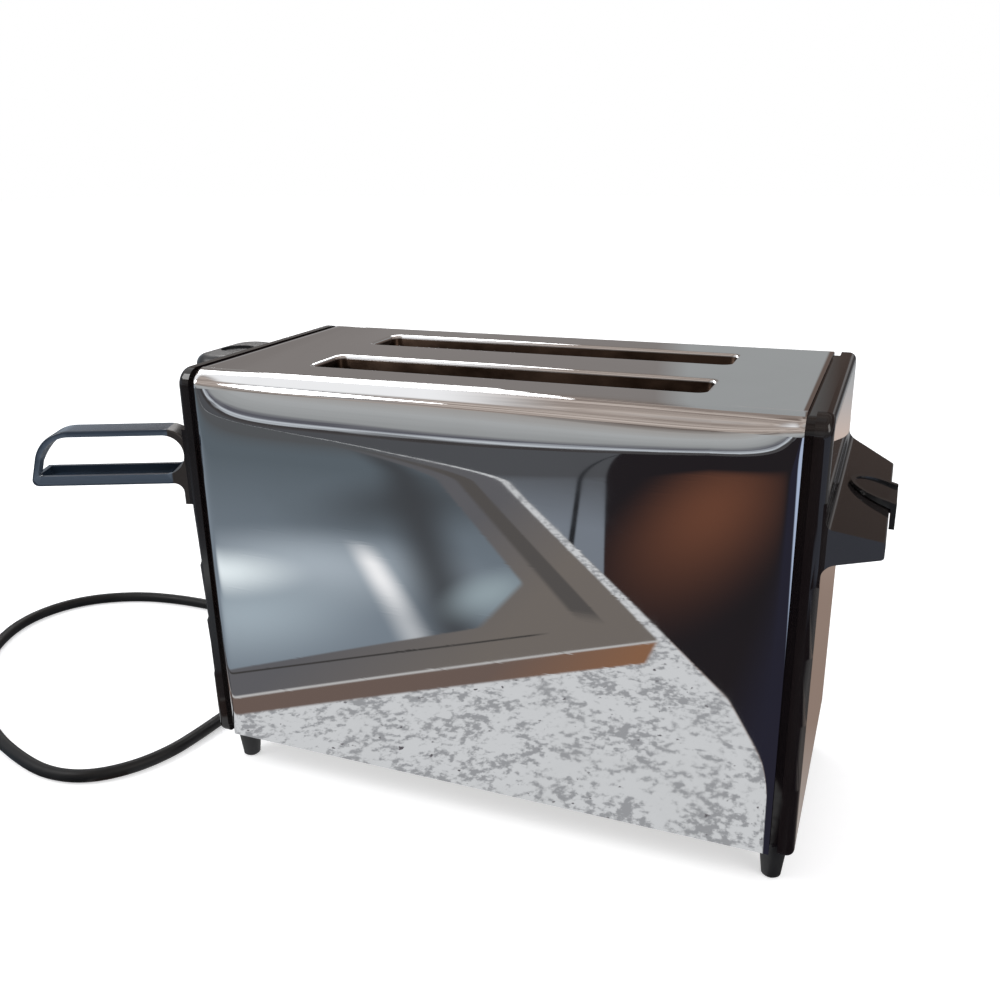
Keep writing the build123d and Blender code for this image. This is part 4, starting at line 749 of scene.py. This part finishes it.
def low_tones(w, east, north, level):
    """Walls and near things, up to about 35 degrees above the horizon."""
    low = w.blend(w.span(north, -0.12, 0.12, smooth=True), w.ramp(level, BEFORE), w.ramp(level, BEHIND))
    cool = w.fade(low, east, -0.22, -0.19, (0.34, 0.35, 0.35))
    cool = w.fade(cool, east, -0.08, -0.05, (0.14, 0.105, 0.09))
    patch = w.times(w.span(north, 0.2, 0.4), w.span(level, 0.12, 0.15))
    low = w.blend(patch, low, cool)
    sky = w.fade((0.44, 0.495, 0.56), level, 0.22, 0.36, (0.27, 0.28, 0.29))
    return w.fade(sky, east, -0.72, -0.66, low)


def high_tones(w, direction, east, north, up):
    """Streaked beige, with a window on the left of the toaster and a dim field before it."""
    streaks = w.noise(1.0, 4.0, 0.65, vector=w.stretched(direction, (1.0, 1.0, 22.0)))
    beige = w.fade((0.18, 0.140, 0.120), streaks, 0.36, 0.62, (0.62, 0.54, 0.485))
    window = w.fade((1.0, 1.0, 1.0), east, -0.44, -0.30, beige, smooth=True)
    dim = w.fade((0.30, 0.31, 0.32), east, -0.56, -0.40, beige, smooth=True)
    high = w.fade(dim, north, -0.30, -0.12, window, smooth=True)
    return w.fade(high, up, 0.95, 1.0, (0.45, 0.42, 0.40), smooth=True)


world = bpy.data.worlds.new("studio")
scene.world = world
world.use_nodes = True
w = Shader("world", world.node_tree)
direction = w.node("ShaderNodeTexCoord").outputs["Generated"]
east, north, up = w.axes(direction)
uneven = w.noise(1.4, 3.0, 0.6, vector=w.stretched(direction, (2.2, 2.2, 14.0)))
level = w.math("ADD", up, w.span(uneven, 0.3, 0.7, -0.025, 0.025))
low = low_tones(w, east, north, level)
glossy = w.fade(low, level, 0.54, 0.60, high_tones(w, direction, east, north, up), smooth=True)
path = w.node("ShaderNodeLightPath")
seen = w.blend(path.outputs["Is Glossy Ray"], ROOM_LIGHT, glossy)
seen = w.blend(path.outputs["Is Camera Ray"], seen, (1.0, 1.0, 1.0))
background = w.node("ShaderNodeBackground")
w.link(seen, background.inputs["Color"])
w.link(background.outputs[0], w.node("ShaderNodeOutputWorld").inputs["Surface"])

# Lamps, all turned to the shell's middle: place, size in metres, watts and colour
LAMP_TARGET = Vector((SHELL_X, SHELL_Y, 0.1))
LAMPS = {
    "key": ((-1.1, -0.75, 1.25), (0.7, 0.7), 9.0, (1.0, 1.0, 1.0)),
    "fill": ((1.1, -0.5, 0.9), (0.5, 0.8), 4.0, (1.0, 0.97, 0.94)),
    "back": ((-0.75, 1.1, 1.0), (0.6, 0.5), 5.0, (1.0, 1.0, 1.0)),
}
for name, (place, size, power, color) in LAMPS.items():
    data = bpy.data.lights.new(name, "AREA")
    data.shape = "RECTANGLE"
    data.size, data.size_y = size
    data.energy = power
    data.color = color
    lamp = bpy.data.objects.new(name, data)
    lamp.location = place
    lamp.rotation_euler = (LAMP_TARGET - Vector(place)).to_track_quat("-Z", "Y").to_euler()
    scene.collection.objects.link(lamp)
